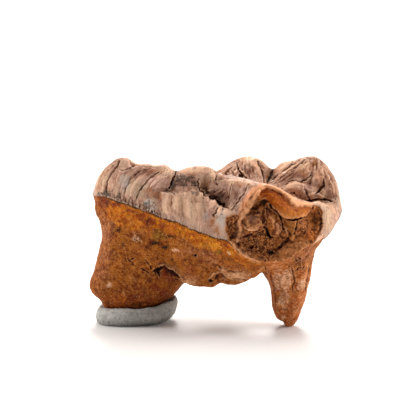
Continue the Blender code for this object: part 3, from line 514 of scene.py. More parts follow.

# Cracks, scratches, folds and torn edges of the roots and of the web between them; their tones paint
# shade in the cracks and folds and highlights along the torn edges and ridges.
ROOT_STROKES = (
    (((-11.3, 10.4), (-10.7, 10.6), (-10.15, 10.85), (-9.45, 11.25)), 0.24, 0.6, 1.0),
    (((-10.6, 10.7), (-10.6, 10.0), (-10.4, 9.5)), 0.22, 0.5, 1.0),
    (((-16.3, 12.6), (-14.9, 11.3)), 0.1, 0.18, 0.9),
    (((-15.0, 12.8), (-15.7, 12.3)), 0.1, 0.15, 0.9),
    (((-13.9, 10.85), (-12.9, 10.4), (-12.3, 9.9)), 0.1, 0.2, 0.9),
    (((-13.0, 12.4), (-12.15, 11.5), (-11.8, 10.5)), 0.12, 0.18, 0.7),
    (((-10.0, 11.55), (-8.85, 11.2), (-7.95, 10.75), (-6.85, 10.1), (-6.3, 9.35), (-5.7, 8.3)),
      0.2, -0.4, -1.0),
    (((-9.8, 10.9), (-8.6, 10.4), (-7.5, 9.8), (-6.9, 9.0)), 0.5, 0.5, 0.7),
    (((-1.35, 8.8), (-0.45, 9.75), (0.45, 10.2), (1.4, 10.15), (1.85, 9.6), (3.1, 8.85), (5.1, 8.6)),
      0.15, -0.3, -0.9),
    (((0.0, 9.1), (0.9, 9.6), (1.6, 9.0)), 0.45, 0.5, 0.5),
    (((2.3, 9.2), (4.4, 9.2), (6.2, 9.1)), 0.24, -0.1, -0.7),
    (((-1.2, 8.5), (-0.5, 8.5)), 0.25, 0.4, 1.0),
    (((2.3, 10.4), (2.9, 10.35), (3.9, 10.1), (5.0, 10.4)), 0.16, 0.2, 0.4),
    (((1.4, 10.8), (2.4, 9.9), (4.0, 9.6), (6.1, 9.6)), 0.45, -0.15, -0.6),
    (((3.4, 8.9), (6.0, 8.75)), 0.12, 0.12, 0.4),
    (((-5.8, 8.0), (-4.6, 8.2), (-3.7, 8.4)), 0.5, -0.1, -0.6),
    (((-2.9, 11.4), (-1.5, 10.7)), 0.12, 0.15, 0.5),
    (((-0.5, 11.6), (0.4, 11.3), (1.1, 10.9)), 0.2, 0.15, 0.45),
    (((-3.9, 13.3), (-3.5, 13.2)), 0.2, 0.3, 1.0),
    (((7.7, 10.3), (8.4, 10.8), (8.9, 11.2)), 0.12, -0.15, -0.6),
    (((8.9, 11.4), (9.2, 10.8), (9.4, 10.3)), 0.12, 0.15, 0.5),
    (((14.0, 10.9), (14.4, 9.4), (14.6, 8.5), (14.1, 7.6), (14.3, 6.4)), 0.16, 0.2, 0.5),
    (((13.2, 2.4), (13.9, 1.2)), 0.2, 0.1, 0.2),
    (((11.0, 7.6), (11.2, 6.6), (11.7, 6.9)), 0.3, 0.12, 0.3),
    (((12.6, 3.3), (13.6, 2.8), (14.4, 3.4)), 0.3, 0.1, 0.25),
    (((14.6, 12.6), (14.9, 12.3)), 0.14, 0.2, 0.9),
    (((15.3, 12.8), (15.5, 12.5)), 0.14, 0.2, 0.9),
    (((14.8, 10.4), (15.3, 10.9)), 0.13, 0.2, 0.8),
    (((16.1, 10.8), (16.3, 11.2)), 0.12, 0.2, 0.8),
    (((13.4, 11.1), (13.6, 11.2)), 0.16, 0.2, 0.8),
    (((14.2, 12.0), (15.8, 13.4), (17.6, 14.5), (19.2, 15.4)), 0.15, 0.12, 0.4),
    (((15.4, 12.0), (16.6, 12.9), (18.2, 13.8)), 0.13, 0.1, 0.35),
    (((17.9, 13.0), (17.3, 11.0), (17.0, 9.0), (16.6, 6.6)), 0.2, 0.15, 0.5),
    (((14.5, 2.2), (15.2, 3.4), (15.8, 4.6)), 0.15, -0.1, -0.5),
    (((10.0, 9.8), (10.5, 8.4), (10.9, 6.6), (11.1, 4.0)), 0.16, 0.1, 0.5),
    (((-19.0, 19.2), (-20.2, 20.9), (-21.2, 22.4)), 0.15, 0.1, 0.3),
    (((-15.9, 9.2), (-15.1, 9.0), (-14.7, 8.3)), 0.14, -0.1, -0.4),
    (((-17.0, 6.6), (-16.8, 5.8)), 0.12, -0.1, -0.5),
)

ROOT_FORMS = (((12.2, 0.5), 0.8, 0.7, 0.6),)

# Stains of the enamel and the roots: place, reach along and up, and strength. Shade is painted
# shade; brown is partly painted shade in hollows and folds; peach and cream are partly painted
# highlights on crests and rims; gold is partly painted light on the golden band.
STAINS = {
    "shade": (
        ((2.8, 24.2), 2.2, 1.6, 0.9), ((0.6, 24.4), 1.4, 0.9, 1.0), ((4.8, 23.4), 1.0, 1.4, 0.7),
        ((-5.6, 26.7), 1.6, 0.8, 0.6), ((-13.6, 29.2), 2.0, 0.4, 0.8), ((-3.2, 20.0), 2.4, 0.8, 0.4),
        ((-12.5, 28.4), 2.6, 0.7, 1.0), ((-4.6, 28.2), 1.8, 0.6, 0.6), ((16.8, 26.6), 1.8, 1.0, 0.7),
        ((10.2, 28.0), 1.6, 1.6, 0.7), ((6.4, 28.2), 1.6, 1.4, 0.7), ((19.6, 26.2), 1.4, 1.8, 0.6),
        ((-8.2, 25.8), 0.9, 1.2, 0.7), ((13.0, 27.8), 2.4, 0.8, 0.4), ((3.0, 28.2), 1.6, 1.0, 0.6),
        ((-0.2, 18.2), 1.2, 1.2, 0.9), ((-14.6, 27.8), 1.0, 0.8, 0.8), ((17.6, 23.6), 2.4, 0.5, 0.8),
        ((-11.4, 25.2), 1.6, 0.7, 0.5), ((-19.4, 25.2), 1.2, 0.8, 0.5), ((-1.6, 26.2), 1.2, 1.4, 0.7),
    ),
    "mauve_skin": (
        ((-11.0, 27.0), 2.6, 1.2, 1.0), ((-16.0, 30.0), 1.4, 0.8, 0.6), ((3.0, 24.8), 2.4, 1.6, 0.5),
        ((-13.4, 28.6), 1.6, 0.6, 0.8), ((-2.0, 28.4), 1.4, 0.5, 0.6), ((16.4, 26.0), 1.0, 0.8, 0.5),
        ((-0.9, 21.6), 0.9, 1.6, 0.5), ((1.0, 21.2), 0.9, 1.2, 0.8),
    ),
    "beige": (
        ((-14.4, 25.2), 2.6, 1.6, 1.0), ((-11.8, 23.2), 1.6, 1.0, 0.9), ((-18.6, 25.6), 0.5, 2.0, 0.6),
        ((-6.0, 22.6), 1.6, 1.6, 0.5), ((19.0, 27.6), 1.6, 1.4, 0.4), ((-2.4, 22.2), 1.2, 1.2, 0.5),
    ),
    "peach": (
        ((22.4, 20.6), 0.6, 2.4, 0.6), ((-21.6, 26.4), 1.0, 2.6, 1.0), ((-20.4, 29.4), 1.2, 1.4, 0.8),
        ((-10.0, 28.8), 2.6, 0.5, 0.8), ((12.4, 29.4), 1.6, 1.0, 1.0), ((16.4, 29.2), 1.6, 1.2, 0.9),
        ((5.8, 30.8), 1.6, 1.0, 1.0), ((19.6, 28.2), 1.5, 2.0, 0.9), ((15.4, 26.0), 1.6, 0.7, 0.35),
        ((-4.0, 28.8), 2.6, 0.6, 1.0), ((14.2, 23.9), 1.2, 0.6, 1.0), ((4.6, 26.6), 2.8, 0.5, 0.9),
        ((7.4, 29.8), 1.0, 1.4, 0.6), ((-8.6, 21.8), 1.0, 1.6, 0.5), ((21.8, 25.6), 0.8, 2.2, 0.5),
        ((18.8, 16.2), 1.0, 0.6, 1.0),
    ),
    "brown": (
        ((-2.3, 25.9), 0.75, 1.3, 1.0), ((-1.5, 25.3), 0.7, 1.0, 0.9), ((-1.9, 27.0), 0.6, 0.7, 0.7),
        ((10.0, 27.4), 0.5, 1.0, 0.8), ((4.5, 28.2), 0.5, 0.4, 0.8), ((19.4, 25.8), 0.4, 0.9, 0.6),
    ),
    "grey": (
        ((-16.8, 26.7), 1.1, 1.7, 1.0), ((-12.4, 22.9), 1.0, 0.7, 0.9), ((-15.2, 25.4), 0.7, 1.2, 0.4),
        ((-11.6, 21.9), 1.4, 0.7, 0.7), ((1.2, 20.0), 1.2, 2.2, 0.9), ((-1.8, 20.2), 0.9, 1.6, 0.5),
        ((22.4, 22.6), 0.5, 2.4, 0.45), ((-14.6, 22.4), 1.2, 0.5, 0.5), ((1.2, 17.4), 0.7, 1.4, 0.5),
        ((-3.4, 24.2), 0.7, 0.5, 0.5),
    ),
    "grime": (
        ((-4.8, 27.3), 1.1, 0.6, 1.0), ((-3.9, 26.6), 0.6, 0.7, 0.9), ((-7.6, 26.4), 0.8, 1.0, 1.0),
        ((-8.5, 25.2), 0.7, 0.6, 0.9), ((-6.2, 27.6), 1.2, 0.5, 1.0), ((-3.6, 24.6), 0.9, 0.5, 0.8),
        ((-11.6, 22.6), 1.2, 0.5, 0.5), ((-20.2, 24.6), 1.1, 0.9, 1.0), ((-21.6, 24.3), 0.8, 0.6, 0.9),
        ((-17.7, 24.4), 0.5, 1.2, 0.9), ((-6.6, 26.9), 1.3, 0.9, 1.0), ((-8.0, 25.6), 0.7, 0.9, 0.8),
        ((-5.9, 26.3), 0.8, 0.6, 1.0), ((-4.1, 24.7), 0.6, 0.5, 0.9), ((-4.3, 27.7), 0.5, 0.5, 0.7),
        ((-7.3, 27.8), 0.5, 0.7, 0.7), ((-7.4, 24.6), 0.8, 0.5, 0.6), ((-5.2, 25.2), 0.8, 0.4, 0.5),
        ((0.6, 23.7), 1.2, 0.7, 0.8), ((3.4, 22.4), 0.7, 0.7, 0.6), ((-20.6, 25.0), 0.9, 0.6, 0.5),
        ((-17.9, 23.8), 0.6, 0.8, 0.8), ((-12.7, 22.4), 0.6, 0.8, 0.9), ((20.9, 21.9), 0.5, 0.4, 0.5),
        ((16.8, 22.9), 1.2, 0.3, 0.7),
    ),
    "ochre": (
        ((-10.7, 24.3), 1.2, 1.0, 1.0), ((-12.4, 25.2), 1.0, 0.8, 0.9), ((-19.6, 24.2), 1.0, 0.5, 0.6),
        ((-1.9, 25.8), 0.9, 1.3, 1.2), ((-8.1, 22.9), 0.25, 1.6, 0.8), ((-4.3, 22.9), 0.3, 0.8, 0.7),
        ((-0.45, 19.3), 0.5, 1.2, 1.1), ((0.1, 17.9), 0.35, 1.3, 1.0), ((4.7, 26.0), 0.5, 0.5, 1.0),
        ((6.5, 26.2), 0.5, 0.4, 0.8), ((18.3, 30.0), 0.8, 1.2, 1.3), ((17.4, 30.9), 0.7, 0.5, 1.0),
        ((9.6, 27.2), 0.6, 1.2, 1.2), ((4.5, 28.1), 0.5, 0.5, 1.2), ((19.5, 25.6), 0.6, 1.0, 1.0),
        ((16.0, 28.6), 1.1, 0.8, 0.5), ((7.0, 28.6), 0.5, 0.9, 0.5), ((18.6, 23.5), 1.8, 0.3, 1.2),
        ((9.2, 29.0), 0.7, 0.9, 0.6), ((1.1, 27.6), 0.5, 0.4, 0.8), ((-14.5, 25.6), 0.4, 1.0, 0.4),
        ((13.0, 27.0), 1.4, 0.5, 0.4),
    ),
    "cream": (
        ((-22.2, 27.2), 0.8, 2.0, 1.0), ((22.6, 23.2), 0.5, 2.0, 0.8), ((-7.0, 23.0), 1.4, 1.4, 0.8),
        ((-4.8, 21.8), 1.8, 2.2, 0.9), ((-9.2, 21.8), 1.2, 1.4, 0.5), ((20.6, 20.2), 0.9, 3.2, 1.0),
        ((20.2, 22.6), 1.2, 0.7, 1.0), ((12.3, 29.6), 1.4, 0.8, 0.9), ((-21.3, 27.4), 1.2, 2.2, 1.0),
        ((-0.8, 28.2), 0.8, 0.9, 1.0), ((3.0, 26.8), 2.2, 0.3, 1.0), ((5.9, 31.2), 1.3, 0.6, 0.9),
        ((14.8, 23.7), 0.7, 0.5, 0.9), ((14.4, 26.0), 1.4, 0.4, 0.7), ((-15.3, 26.4), 0.5, 0.9, 0.8),
        ((-4.0, 29.0), 2.4, 0.4, 0.8), ((-9.0, 29.0), 1.6, 0.5, 0.8), ((1.4, 21.1), 1.2, 0.7, 1.0),
        ((-17.2, 29.8), 0.9, 0.9, 0.6), ((16.2, 29.4), 0.8, 0.8, 0.5), ((6.2, 29.7), 0.5, 1.0, 0.6),
        ((18.7, 16.2), 0.8, 0.5, 1.0),
    ),
    "rust": (
        ((-14.6, 5.4), 1.6, 0.8, 0.9), ((-11.2, 7.2), 1.2, 0.9, 0.9), ((-13.6, 19.8), 1.0, 0.6, 1.1),
        ((-20.9, 22.8), 1.3, 1.0, 1.1), ((-18.6, 22.5), 1.6, 0.6, 0.9), ((-14.0, 20.6), 1.6, 0.6, 0.8),
        ((-12.3, 19.4), 1.4, 0.8, 1.0), ((-9.8, 18.6), 1.2, 0.4, 0.8), ((-16.4, 21.4), 1.4, 0.4, 0.6),
        ((-8.4, 9.4), 1.8, 1.2, 1.2), ((-9.6, 6.0), 1.8, 1.2, 0.8), ((14.9, 6.4), 0.5, 2.6, 1.2),
        ((15.4, 3.4), 0.5, 1.2, 0.9), ((13.8, 1.6), 0.8, 0.8, 0.6), ((-2.6, 12.2), 1.6, 0.8, 0.5),
        ((0.6, 15.8), 0.8, 0.3, 0.8), ((-11.4, 15.6), 1.0, 0.6, 0.8), ((3.6, 11.0), 1.4, 0.5, 0.5),
        ((-4.4, 10.6), 1.6, 1.0, 0.6),
    ),
    "gold": (
        ((-1.0, 15.0), 2.6, 0.7, 1.0), ((-4.4, 16.3), 2.0, 0.5, 0.6), ((2.6, 13.9), 1.2, 0.5, 0.6),
        ((-18.0, 19.4), 1.2, 0.6, 0.5),
    ),
    "amber": (
        ((-18.9, 20.6), 1.4, 1.2, 1.1), ((-17.0, 19.4), 1.4, 1.2, 1.0), ((-14.8, 18.6), 1.4, 0.8, 0.8),
        ((-12.6, 17.8), 1.0, 0.6, 0.6), ((-6.8, 16.9), 1.6, 0.6, 0.6), ((-3.6, 15.2), 1.6, 0.6, 0.6),
        ((4.6, 12.6), 1.8, 0.6, 0.6), ((6.8, 11.4), 1.2, 0.5, 0.5), ((-6.4, 14.6), 0.8, 0.4, 0.5),
        ((-18.9, 3.9), 1.4, 0.5, 0.6), ((-16.8, 9.8), 1.0, 0.8, 0.3), ((-17.4, 5.4), 2.6, 1.2, 0.55),
        ((-12.6, 5.0), 2.0, 0.8, 0.5),
    ),
    "olive": (
        ((-10.4, 16.8), 1.3, 1.0, 1.0), ((0.5, 13.9), 0.9, 0.5, 1.0), ((-13.6, 16.2), 1.0, 0.5, 0.4),
        ((-20.0, 8.6), 0.8, 1.4, 0.5),
    ),
    "soot": (
        ((15.4, 11.6), 1.6, 1.6, 0.7), ((0.2, 9.0), 0.8, 0.4, 0.6), ((-11.2, 15.5), 1.3, 0.6, 1.1),
        ((-9.5, 14.9), 1.1, 0.7, 1.25), ((-8.0, 16.6), 1.2, 0.3, 1.1), ((-18.1, 17.8), 0.8, 0.6, 1.05),
        ((-14.8, 16.1), 1.6, 1.0, 0.85), ((-17.2, 15.0), 0.4, 0.7, 1.0), ((-8.9, 15.9), 0.4, 0.4, 0.95),
        ((-12.4, 19.9), 0.5, 0.4, 0.85), ((-7.9, 12.5), 0.3, 0.3, 1.1), ((-5.6, 12.5), 0.3, 0.3, 1.1),
        ((-3.8, 13.2), 0.5, 0.25, 1.2), ((-8.6, 10.0), 1.4, 0.9, 0.8), ((-10.6, 10.3), 0.9, 0.7, 1.1),
        ((-20.0, 22.8), 0.7, 0.5, 0.8), ((15.2, 11.8), 1.2, 1.5, 0.62), ((-0.9, 8.5), 0.7, 0.3, 1.1),
        ((-1.0, 16.6), 1.4, 0.3, 0.8), ((-17.8, 22.7), 1.0, 0.4, 0.8), ((-13.4, 21.1), 1.6, 0.5, 0.7),
        ((-14.0, 4.2), 3.0, 0.5, 0.7), ((-7.0, 9.0), 0.8, 1.0, 0.7), ((-15.8, 21.0), 1.2, 0.4, 0.6),
        ((2.6, 12.8), 1.6, 0.6, 0.6),
    ),
    "pale": (
        ((-7.4, 14.05), 0.9, 0.45, 1.2), ((11.9, 9.0), 1.6, 1.5, 0.85), ((13.7, 9.6), 0.5, 1.3, 1.2),
        ((12.6, 5.6), 1.1, 2.2, 1.0), ((12.0, 7.6), 1.3, 1.6, 0.9), ((15.9, 7.7), 0.6, 0.9, 1.7),
        ((13.4, 9.0), 0.6, 1.6, 1.3), ((3.6, 9.2), 2.4, 0.4, 0.9), ((12.6, 1.6), 0.5, 0.6, 0.7),
        ((-14.6, 16.4), 1.1, 0.9, 0.8), ((3.6, 9.7), 2.2, 0.5, 0.9), ((-4.7, 8.3), 1.1, 0.5, 0.9),
        ((2.3, 13.6), 0.5, 0.2, 1.2), ((1.2, 10.7), 0.7, 0.4, 0.8), ((-19.6, 7.6), 0.8, 0.6, 0.7),
        ((-17.4, 14.2), 0.8, 0.8, 0.3), ((14.8, 4.6), 0.2, 1.4, 0.6), ((6.4, 9.6), 0.5, 0.6, 0.6),
    ),
    "pink": (
        ((-20.2, 17.6), 0.9, 3.0, 1.0), ((-20.6, 13.0), 1.2, 2.6, 0.7), ((17.6, 14.0), 2.0, 1.2, 1.0),
        ((-22.6, 23.8), 0.6, 1.2, 1.0), ((17.0, 4.6), 0.8, 3.0, 0.6), ((-1.8, 13.4), 1.8, 0.8, 0.9),
        ((16.0, 12.4), 1.6, 1.2, 0.8), ((-0.6, 12.2), 1.6, 0.8, 0.6), ((12.2, 8.6), 2.4, 3.0, 1.0),
        ((16.6, 8.5), 1.4, 4.0, 1.0), ((13.4, 3.6), 2.4, 2.6, 0.6), ((3.6, 9.8), 3.0, 1.0, 0.7),
        ((-19.6, 19.4), 0.9, 1.8, 0.8), ((-21.0, 9.6), 1.4, 2.4, 0.6), ((-5.0, 9.0), 1.8, 1.0, 0.6),
        ((-4.4, 13.8), 2.0, 0.8, 0.6),
    ),
}

# Stains of the broken corner.
BREAK_STAINS = {
    "mauve": (
        ((6.8, 19.9), 1.3, 1.0, 1.0), ((8.0, 21.3), 0.6, 0.4, 0.4),
    ),
    "heart_rust": (
        ((8.6, 19.8), 0.7, 1.0, 1.0), ((11.3, 18.0), 0.9, 1.2, 0.95), ((9.6, 21.2), 0.9, 0.6, 0.8),
        ((17.2, 17.4), 1.0, 0.8, 0.3),
    ),
    "heart_amber": (
        ((10.9, 18.6), 1.2, 1.2, 1.0), ((17.4, 16.9), 1.2, 0.9, 1.2), ((7.6, 23.8), 1.0, 0.6, 0.9),
        ((13.7, 18.4), 0.8, 1.2, 0.8), ((12.6, 13.6), 0.9, 0.7, 0.7),
    ),
    "heart_tan": (
        ((15.6, 15.2), 1.6, 0.5, 0.9), ((16.1, 19.0), 0.9, 0.9, 0.5), ((4.5, 17.4), 0.5, 1.8, 0.9),
        ((5.4, 14.2), 1.2, 0.4, 0.4), ((13.2, 14.2), 1.2, 0.7, 0.5),
    ),
    "heart_soot": (
        ((12.4, 15.4), 0.9, 0.6, 0.8), ((19.3, 18.6), 0.3, 1.6, 0.8), ((13.6, 17.2), 0.4, 0.8, 0.6),
        ((8.6, 22.9), 0.9, 0.5, 1.0), ((7.0, 21.9), 0.7, 0.5, 1.0), ((9.6, 17.2), 0.6, 0.8, 0.9),
        ((18.1, 19.9), 1.0, 0.9, 0.9), ((10.0, 13.8), 1.2, 0.5, 1.0), ((4.2, 15.3), 0.5, 0.5, 0.8),
        ((16.6, 15.6), 0.4, 0.3, 0.9), ((12.0, 15.0), 0.8, 0.6, 0.7), ((18.8, 21.6), 0.6, 0.5, 0.6),
        ((6.0, 16.6), 1.6, 0.8, 0.4), ((6.8, 13.6), 1.4, 0.6, 0.4), ((8.8, 12.2), 0.8, 0.3, 0.8),
    ),
    "lip_dark": (
        ((9.6, 25.2), 1.1, 0.6, 1.0), ((11.8, 24.6), 0.9, 0.4, 0.8), ((13.0, 23.3), 0.5, 0.6, 0.7),
        ((9.2, 24.2), 0.6, 0.6, 0.6), ((14.6, 21.6), 1.2, 0.4, 0.5),
    ),
}


def patches(spots, flat):
    """Soft-edged stains, each with its place, its reach both ways and its strength."""
    total = np.zeros(len(flat))
    for (x, seen), reach_x, reach_z, strength in spots:
        away = ((flat[:, 0] - x) / reach_x) ** 2 + ((flat[:, 1] - seen) / reach_z) ** 2
        total = np.maximum(total, strength * np.exp(-away))
    return total


# How high or deep the forms are that cover a whole part of the tooth.
RIB_HEIGHT = 0.04
BROAD_RIB_HEIGHT = 0.12
ROOT_INSET = 0.25
SHELF_STEP = 0.35
LIP_INSET = 0.35
SPONGE_DEPTH = 0.45
DOME_HEIGHT, MASS_HEIGHT, TRAPEZOID_HEIGHT, SLAB_HEIGHT = 0.6, 0.15, 0.3, 0.2

tooth = Clay("tooth", "fossil_tooth", voxel=0.375, smoothing=6)
tooth.refine(least=0.12)
facing = eased(tooth.toward(), 0.0, 0.3)
across = tooth.across()
near_side = facing * (1 - eased(across, 0.28, 0.40))
bite_side = facing * eased(across, 0.20, 0.32)
rise = above_cervix(tooth)
ragged = tooth.wavering(reach=0.2, size=0.8)


def within(outline, low, high):
    """The share of each near point that belongs to an outline, with a soft and ragged border."""
    return eased(depth_inside(outline, ragged), low, high) * near_side


broken = within(BREAK_OUTLINE, -0.1, 0.12)
lip = within(LIP_OUTLINE, -0.1, 0.15)
trapezoid = within(TRAPEZOID_OUTLINE, -0.1, 0.1)
slab = within(SLAB_OUTLINE, -0.2, 0.3)
dome = within(DOME_OUTLINE, -0.1, 0.4)
mass = within(MASS_OUTLINE, -0.1, 0.5)
island = within(ISLAND_OUTLINE, -0.1, 0.2)
sponge = within(SPONGE_OUTLINE, -0.2, 0.4)
enamel = eased(rise, -0.1, 0.1) * (1 - broken)
crown_side = enamel * (1 - eased(across, 0.20, 0.32) * eased(tooth.normals[:, 2], 0.2, 0.5))

# growth lines lean to the right above the middle of the near wall, and stand upright elsewhere
x, seen = tooth.flat.T
turned = eased(np.abs(tooth.normals[:, 0]), 0.6, 0.9)
lean = np.interp(x, (-22.0, -19.0, -14.0, -10.0, -7.0), (0.42, 0.5, 0.85, 0.9, 0.0)) * near_side
upright = x - lean * np.maximum(seen - 23.6, 0)
lane = upright * (1 - turned) + np.copysign(21.0, x) * turned
side_lane = tooth.points[:, 1] * turned
lanes = np.column_stack([lane, side_lane, 0.06 * tooth.points[:, 2]])
ribs = grain(lanes, size=0.5)
broad_ribs = grain(lanes, size=1.3, turn=7.0)
far_wall = 1 - eased(tooth.toward(), -0.3, 0.1)
tooth.push(-(RIB_HEIGHT * ribs + BROAD_RIB_HEIGHT * (1 + far_wall) * broad_ribs) * crown_side)

# the root draws in under the enamel's edge, and the shelf stands out over a groove
tooth.push(ROOT_INSET * (1 - eased(rise, -0.12, 0.06)) * eased(rise, -2.5, -0.6) * (1 - broken))
shelf = depth_inside(SHELF_OUTLINE, tooth.wavering(reach=0.2, size=0.8))
groove = np.exp(-(((shelf + 0.6) / 0.4) ** 2))
ledge = eased(shelf, -0.15, 0.25) * (1 - eased(shelf, 0.6, 3.0)) - 0.6 * groove
tooth.push(-SHELF_STEP * ledge * crown_side * near_side * eased(seen, 20.0, 22.0))
tooth.write()
tooth.swell(WALL_FORMS, near_side * (1 - broken))
tooth.draw(WALL_STROKES, near_side * (1 - broken))
tooth.draw(edge_ticks(), near_side * enamel)

# wrinkles fan out from the tips of the two far cusps
for (peak_x, peak_seen), reach, height in CUSP_FANS:
    run_x, run_z = tooth.flat[:, 0] - peak_x, tooth.flat[:, 1] - peak_seen
    away = np.hypot(run_x, run_z)
    turn = np.arctan2(run_x, -run_z)
    ripple = grain(np.column_stack([turn * 3.2, away * 0.12, np.zeros(len(away))]), size=0.3)
    fading = eased(away, 1.5, 3.0) * (1 - eased(away, reach * 0.8, reach))
    tooth.push(-height * ripple * fading * bite_side * enamel)
tooth.write()
tooth.swell(BITE_FORMS, bite_side * enamel)
tooth.draw(BITE_STROKES, bite_side * enamel)
bite_all = enamel * eased(across, 0.2, 0.35) * eased(tooth.normals[:, 2], 0.1, 0.5)
uneven = 0.14 * grain(tooth.points, size=0.9, turn=2.0) + 0.06 * grain(tooth.points, size=0.4)
tooth.push(uneven * bite_all)
tooth.write()

# the broken corner: hollows first, then what stands in them, then its cracks
inner = broken * (1 - lip)
pits = np.abs(grain(tooth.points, size=0.55)) + 0.5 * np.abs(grain(tooth.points, size=0.3, turn=3.0))
lumps = 0.3 * np.abs(grain(tooth.points, size=1.1)) + 0.12 * grain(tooth.points, size=0.4)
tooth.push(LIP_INSET * lip * eased(tooth.flat[:, 1], 20.4, 23.4))
tooth.push(inner * (lumps - 0.1))
tooth.push(SPONGE_DEPTH * sponge * (0.3 - 0.9 * pits))
tooth.push(island * (0.45 + 0.35 * grain(tooth.points, size=0.5)))
tooth.push(-DOME_HEIGHT * dome - MASS_HEIGHT * mass)
tooth.push(-TRAPEZOID_HEIGHT * trapezoid - SLAB_HEIGHT * slab)
tooth.write()
break_edge = 0.6 * near_side * eased(depth_inside(BREAK_OUTLINE, tooth.flat), -0.6, -0.2)
tooth.draw(BREAK_STROKES, np.maximum(broken, break_edge))

# the roots: a porous, lightly scratched surface with furrows
root = (1 - eased(rise, -0.3, 0.0)) * (1 - broken)
pitted = 0.12 * grain(tooth.points, size=1.6) + 0.06 * grain(tooth.points, size=0.35)
pitted += 0.08 * grain(tooth.points, size=0.7, turn=9.0)
tooth.push(pitted * root)
tooth.write()
tooth.swell(ROOT_FORMS, root)
tooth.draw(ROOT_STROKES, facing * root)

# what the material reads at each point
blotched = tooth.wavering(reach=0.5, size=1.1)
for name, spots in STAINS.items():
    tooth.mark(name, patches(spots, blotched) * facing)
for name, spots in BREAK_STAINS.items():
    tooth.mark(name, patches(spots, ragged) * near_side)
# the torn rim along the break, which the material paints paler, partly as a painted highlight
torn = np.abs(depth_inside(BREAK_OUTLINE, ragged) + 0.25)
rim = np.exp(-((torn / 0.5) ** 2)) * near_side * np.interp(x, (3.5, 5.0, 17.5, 18.5), (0, 1, 1, 0))
calm = (1 - 0.75 * eased(across, 0.4, 0.7) * facing) * np.interp(x, (16.0, 19.5), (1.0, 0.35))
MARKS = {
    "enamel": enamel, "rise": rise, "near": near_side, "facing": facing, "seen_height": tooth.flat[:, 1],
    "broken": broken, "lip": lip, "rim": rim, "trapezoid": trapezoid, "slab": slab, "island": island,
    "sponge": sponge, "crown_side": crown_side * calm, "lane": lane, "side_lane": side_lane,
    "front_root": eased(x, 8.5, 10.5) * (1 - eased(seen, 10.5, 13.5)),
    "band": np.interp(x, (-22.5, -19.5, 5.0, 10.0), (0.1, 1.0, 1.0, 0.0)),
    "ticked": np.interp(x, (-21.5, -19.5, -10.5, -8.5), (0.2, 1.0, 1.0, 0.3)),
    "dark": tooth.dark_and_shade, "light": tooth.pale_and_highlight,
    "hollow": tooth.hollow(rounds=4), "dip": tooth.hollow(rounds=25), "basin": tooth.hollow(rounds=120),
}
for name, values in MARKS.items():
    tooth.mark(name, values)


def paint(red, green, blue):
    """A colour given as it shows on a screen, 0 to 255, made linear."""
    return (*[(c / 255) ** 2.2 for c in (red, green, blue)], 1.0)


class Signal:
    """A shader socket that takes part in sums: an expression on values adds its Math nodes."""

    def __init__(self, shader, socket):
        self.shader = shader
        self.socket = socket

    def math(self, operation, *values):
        return self.shader.node("Math", {"operation": operation}, dict(enumerate(values)))

    def __add__(self, other):
        return self.math("ADD", self, other)

    def __radd__(self, other):
        return self.math("ADD", other, self)

    def __sub__(self, other):
        return self.math("SUBTRACT", self, other)

    def __rsub__(self, other):
        return self.math("SUBTRACT", other, self)

    def __mul__(self, other):
        return self.math("MULTIPLY", self, other)

    def __rmul__(self, other):
        return self.math("MULTIPLY", other, self)

    def __abs__(self):
        return self.math("ABSOLUTE", self)

    def eased(self, low, high):
        """A smooth step from 0 at low to 1 at high, whichever of the two is the larger."""
        if low > high:
            return 1 - self.eased(high, low)
        return self.shader.node("MapRange", {"interpolation_type": "SMOOTHSTEP"}, {0: self, 1: low, 2: high})


class Shader:
    """The nodes of one material, measured in millimetres on the piece."""

    def __init__(self, name):
        self.material = bpy.data.materials.new(name)
        self.material.use_nodes = True
        self.tree = self.material.node_tree
        self.tree.nodes.clear()
        self.place = self.node("TexCoord", output="Object")

    def node(self, kind, settings=None, sockets=None, output=0):
        node = self.tree.nodes.new("ShaderNode" + kind)
        for name, value in (settings or {}).items():
            setattr(node, name, value)
        for name, value in (sockets or {}).items():
            if isinstance(value, Signal):
                self.tree.links.new(value.socket, node.inputs[name])
            else:
                node.inputs[name].default_value = value
        return Signal(self, node.outputs[output]) if node.outputs else None

    def mark(self, name):
        return self.node("Attribute", {"attribute_name": name}, output="Fac")

    def cloud(self, size, detail=3.0, rough=0.6):
        """Soft noise between about 0.2 and 0.8, in spots of the given size."""
        return self.node("TexNoise", sockets={
            "Vector": self.place, "Scale": 1 / (size * MM), "Detail": detail, "Roughness": rough})

    def drawn_out(self, across, beside, up, size):
        """Noise that is fine along one value and long along another."""
        spot = self.node("CombineXYZ", sockets={"X": across, "Y": beside, "Z": up})
        return self.node("TexNoise", sockets={
            "Vector": spot, "Scale": 1 / size, "Detail": 2.0, "Roughness": 0.6})

    def cells(self, size):
        """The distance from scattered points, 0 at each of them, with the places shaken a little."""
        shake = self.node("TexNoise", output="Color", sockets={
            "Vector": self.place, "Scale": 2 / (size * MM)})
        spot = self.node("VectorMath", {"operation": "MULTIPLY_ADD"},
                         {0: shake, 1: (0.6 * size * MM,) * 3, 2: self.place})
        return self.node("TexVoronoi", sockets={"Vector": spot, "Scale": 1 / (size * MM)})

    def stain(self, name, edge, ragged=0.7):
        """A marked stain whose border breaks up in the given noise."""
        return (self.mark(name) + (edge - 0.5) * ragged).eased(0.25, 0.7)

    def mix(self, share, one, other, blend="MIX"):
        settings = {"data_type": "RGBA", "blend_type": blend}
        return self.node("Mix", settings, {0: share, 6: one, 7: other}, output=2)

    def mottle(self, share, one, other):
        """Two paints, each given as its red, green and blue on a screen, side by side in spots."""
        return self.mix(share, paint(*one), paint(*other))

    def tint(self, share, colour, glass):
        """The colour as seen through a glass of another colour."""
        return self.mix(share, colour, glass, "MULTIPLY")

    def surface(self, **sockets):
        """Ends the material with a surface whose sockets are named in small letters."""
        named = {name.replace("_", " ").title().replace("Ior", "IOR"): value
                 for name, value in sockets.items()}
        skin = self.node("BsdfPrincipled", sockets=named)
        self.node("OutputMaterial", sockets={"Surface": skin})
        return self.material


